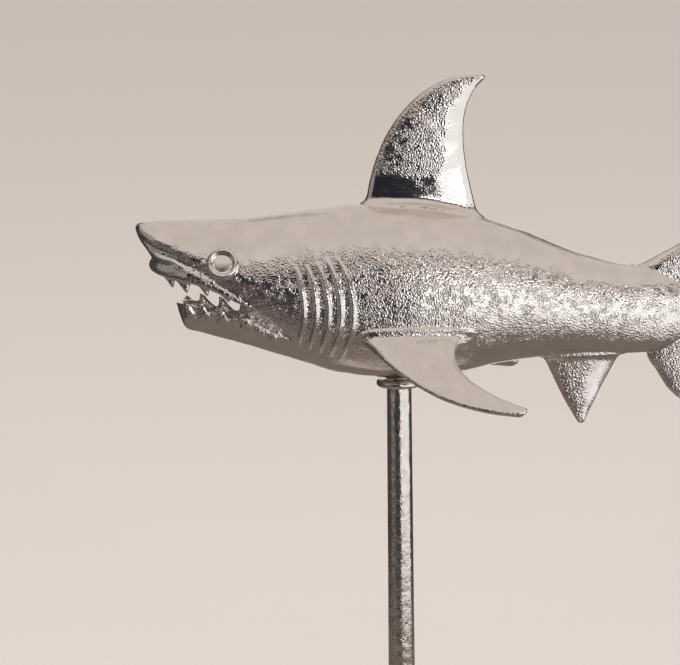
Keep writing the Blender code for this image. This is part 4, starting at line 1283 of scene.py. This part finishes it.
def shaded_upwards(tree, stops):
    """Colour over a thing's own height, or over the sky's."""
    coords = node(tree, "ShaderNodeTexCoord")
    split = node(tree, "ShaderNodeSeparateXYZ")
    ramp = node(tree, "ShaderNodeValToRGB")
    elements = ramp.color_ramp.elements
    elements[0].position, elements[0].color = stops[0][0], (*stops[0][1], 1)
    elements[1].position, elements[1].color = stops[-1][0], (*stops[-1][1], 1)
    for position, colour in stops[1:-1]:
        elements.new(position).color = (*colour, 1)
    tree.links.new(coords.outputs["Generated"], split.inputs["Vector"])
    tree.links.new(split.outputs["Z"], ramp.inputs["Fac"])
    return ramp.outputs["Color"]


def reflection_only(thing, stops):
    """Stage card that only the metal's reflections see. Its emission is painted reflection: painted
    shade and painted highlight that no lamp gives.
    """
    material, tree, shader = new_material(thing.name)
    shader.inputs["Base Color"].default_value = (0, 0, 0, 1)
    shader.inputs["Specular IOR Level"].default_value = 0.0
    tree.links.new(shaded_upwards(tree, stops), shader.inputs["Emission Color"])
    shader.inputs["Emission Strength"].default_value = 1.0
    thing.data.materials.append(material)
    thing.visible_camera = False
    thing.visible_diffuse = False
    thing.visible_shadow = False
    thing.visible_transmission = False


def make_floor():
    bm = bmesh.new()
    bmesh.ops.create_circle(bm, cap_ends=True, segments=96, radius=FLOOR_RADIUS)
    floor = mesh_object("studio_floor", bm)
    floor.location.z = FELT_LOW[2]
    material, tree, shader = new_material("pale_floor")
    shader.inputs["Base Color"].default_value = (*FLOOR_COLOUR, 1)
    shader.inputs["Roughness"].default_value = 0.9
    shader.inputs["Specular IOR Level"].default_value = 0.1
    floor.data.materials.append(material)


def make_world():
    world = bpy.data.worlds.new("studio")
    bpy.context.scene.world = world
    world.use_nodes = True
    tree = world.node_tree
    background = tree.nodes["Background"]
    tree.links.new(shaded_upwards(tree, SKY_STOPS), background.inputs["Color"])
    background.inputs["Strength"].default_value = 1.0


def make_camera():
    camera = bpy.data.cameras.new("photo_view")
    camera.sensor_width = SENSOR_WIDTH
    camera.lens = SENSOR_WIDTH * VIEW_DISTANCE / VIEW_WIDTH
    camera.clip_end = 100
    thing = bpy.data.objects.new("photo_view", camera)
    place = VIEW_TARGET + direction(0, math.degrees(VIEW_ELEVATION)) * VIEW_DISTANCE
    roll = Matrix.Rotation(-VIEW_ROLL, 4, "Z")
    thing.matrix_world = Matrix.Translation(place) @ facing(place, VIEW_TARGET) @ roll
    bpy.context.scene.collection.objects.link(thing)
    bpy.context.scene.camera = thing


def dress():
    nickel = plated("cast_nickel", *CAST_NICKEL, worn=True)
    turned_metal = plated("turned_nickel", *TURNED_NICKEL)
    plate_metal = plated("plate_nickel", *PLATE_NICKEL)
    shark = make_casting(nickel)
    rod, collar = make_rod(), make_collar()
    plate_edges = (PLATE_CORNER_RADIUS, PLATE_EDGE_RADIUS)
    plate = rounded_slab("plate_slab", PLATE_LOW, PLATE_HIGH, *plate_edges)
    felt_corner = PLATE_CORNER_RADIUS - (PLATE_HIGH[0] - FELT_HIGH[0])
    felt = rounded_slab("felt_pad", FELT_LOW, FELT_HIGH, felt_corner, FELT_EDGE_RADIUS)
    for piece, metal in ((rod, turned_metal), (collar, turned_metal), (plate, plate_metal)):
        piece.data.materials.append(metal)
    felt.data.materials.append(pressed_felt())
    rows = (
        (shark, "shark", "cast_nickel"),
        (rod, "rod", "turned_nickel"),
        (collar, "collar", "turned_nickel"),
        (plate, "base_plate", "plate_nickel"),
        (felt, "felt_sheet", "felt"),
    )
    for piece, replaced, slot in rows:
        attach(piece, "root")
        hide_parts(replaced)
    steel = zinc_steel()
    for name in ("stud", "base_screw"):
        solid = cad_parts[name]
        solid.data.materials.clear()
        solid.data.materials.append(steel)


def light_the_studio():
    make_floor()
    make_world()
    for lamp in LAMPS:
        soft_light(*lamp)
    for row in BENT_CARDS:
        bent_card(*row)
    for row in FLOOR_CARDS:
        floor_card(*row)


bpy.context.scene.view_settings.view_transform = "Standard"
make_camera()
dress()
light_the_studio()
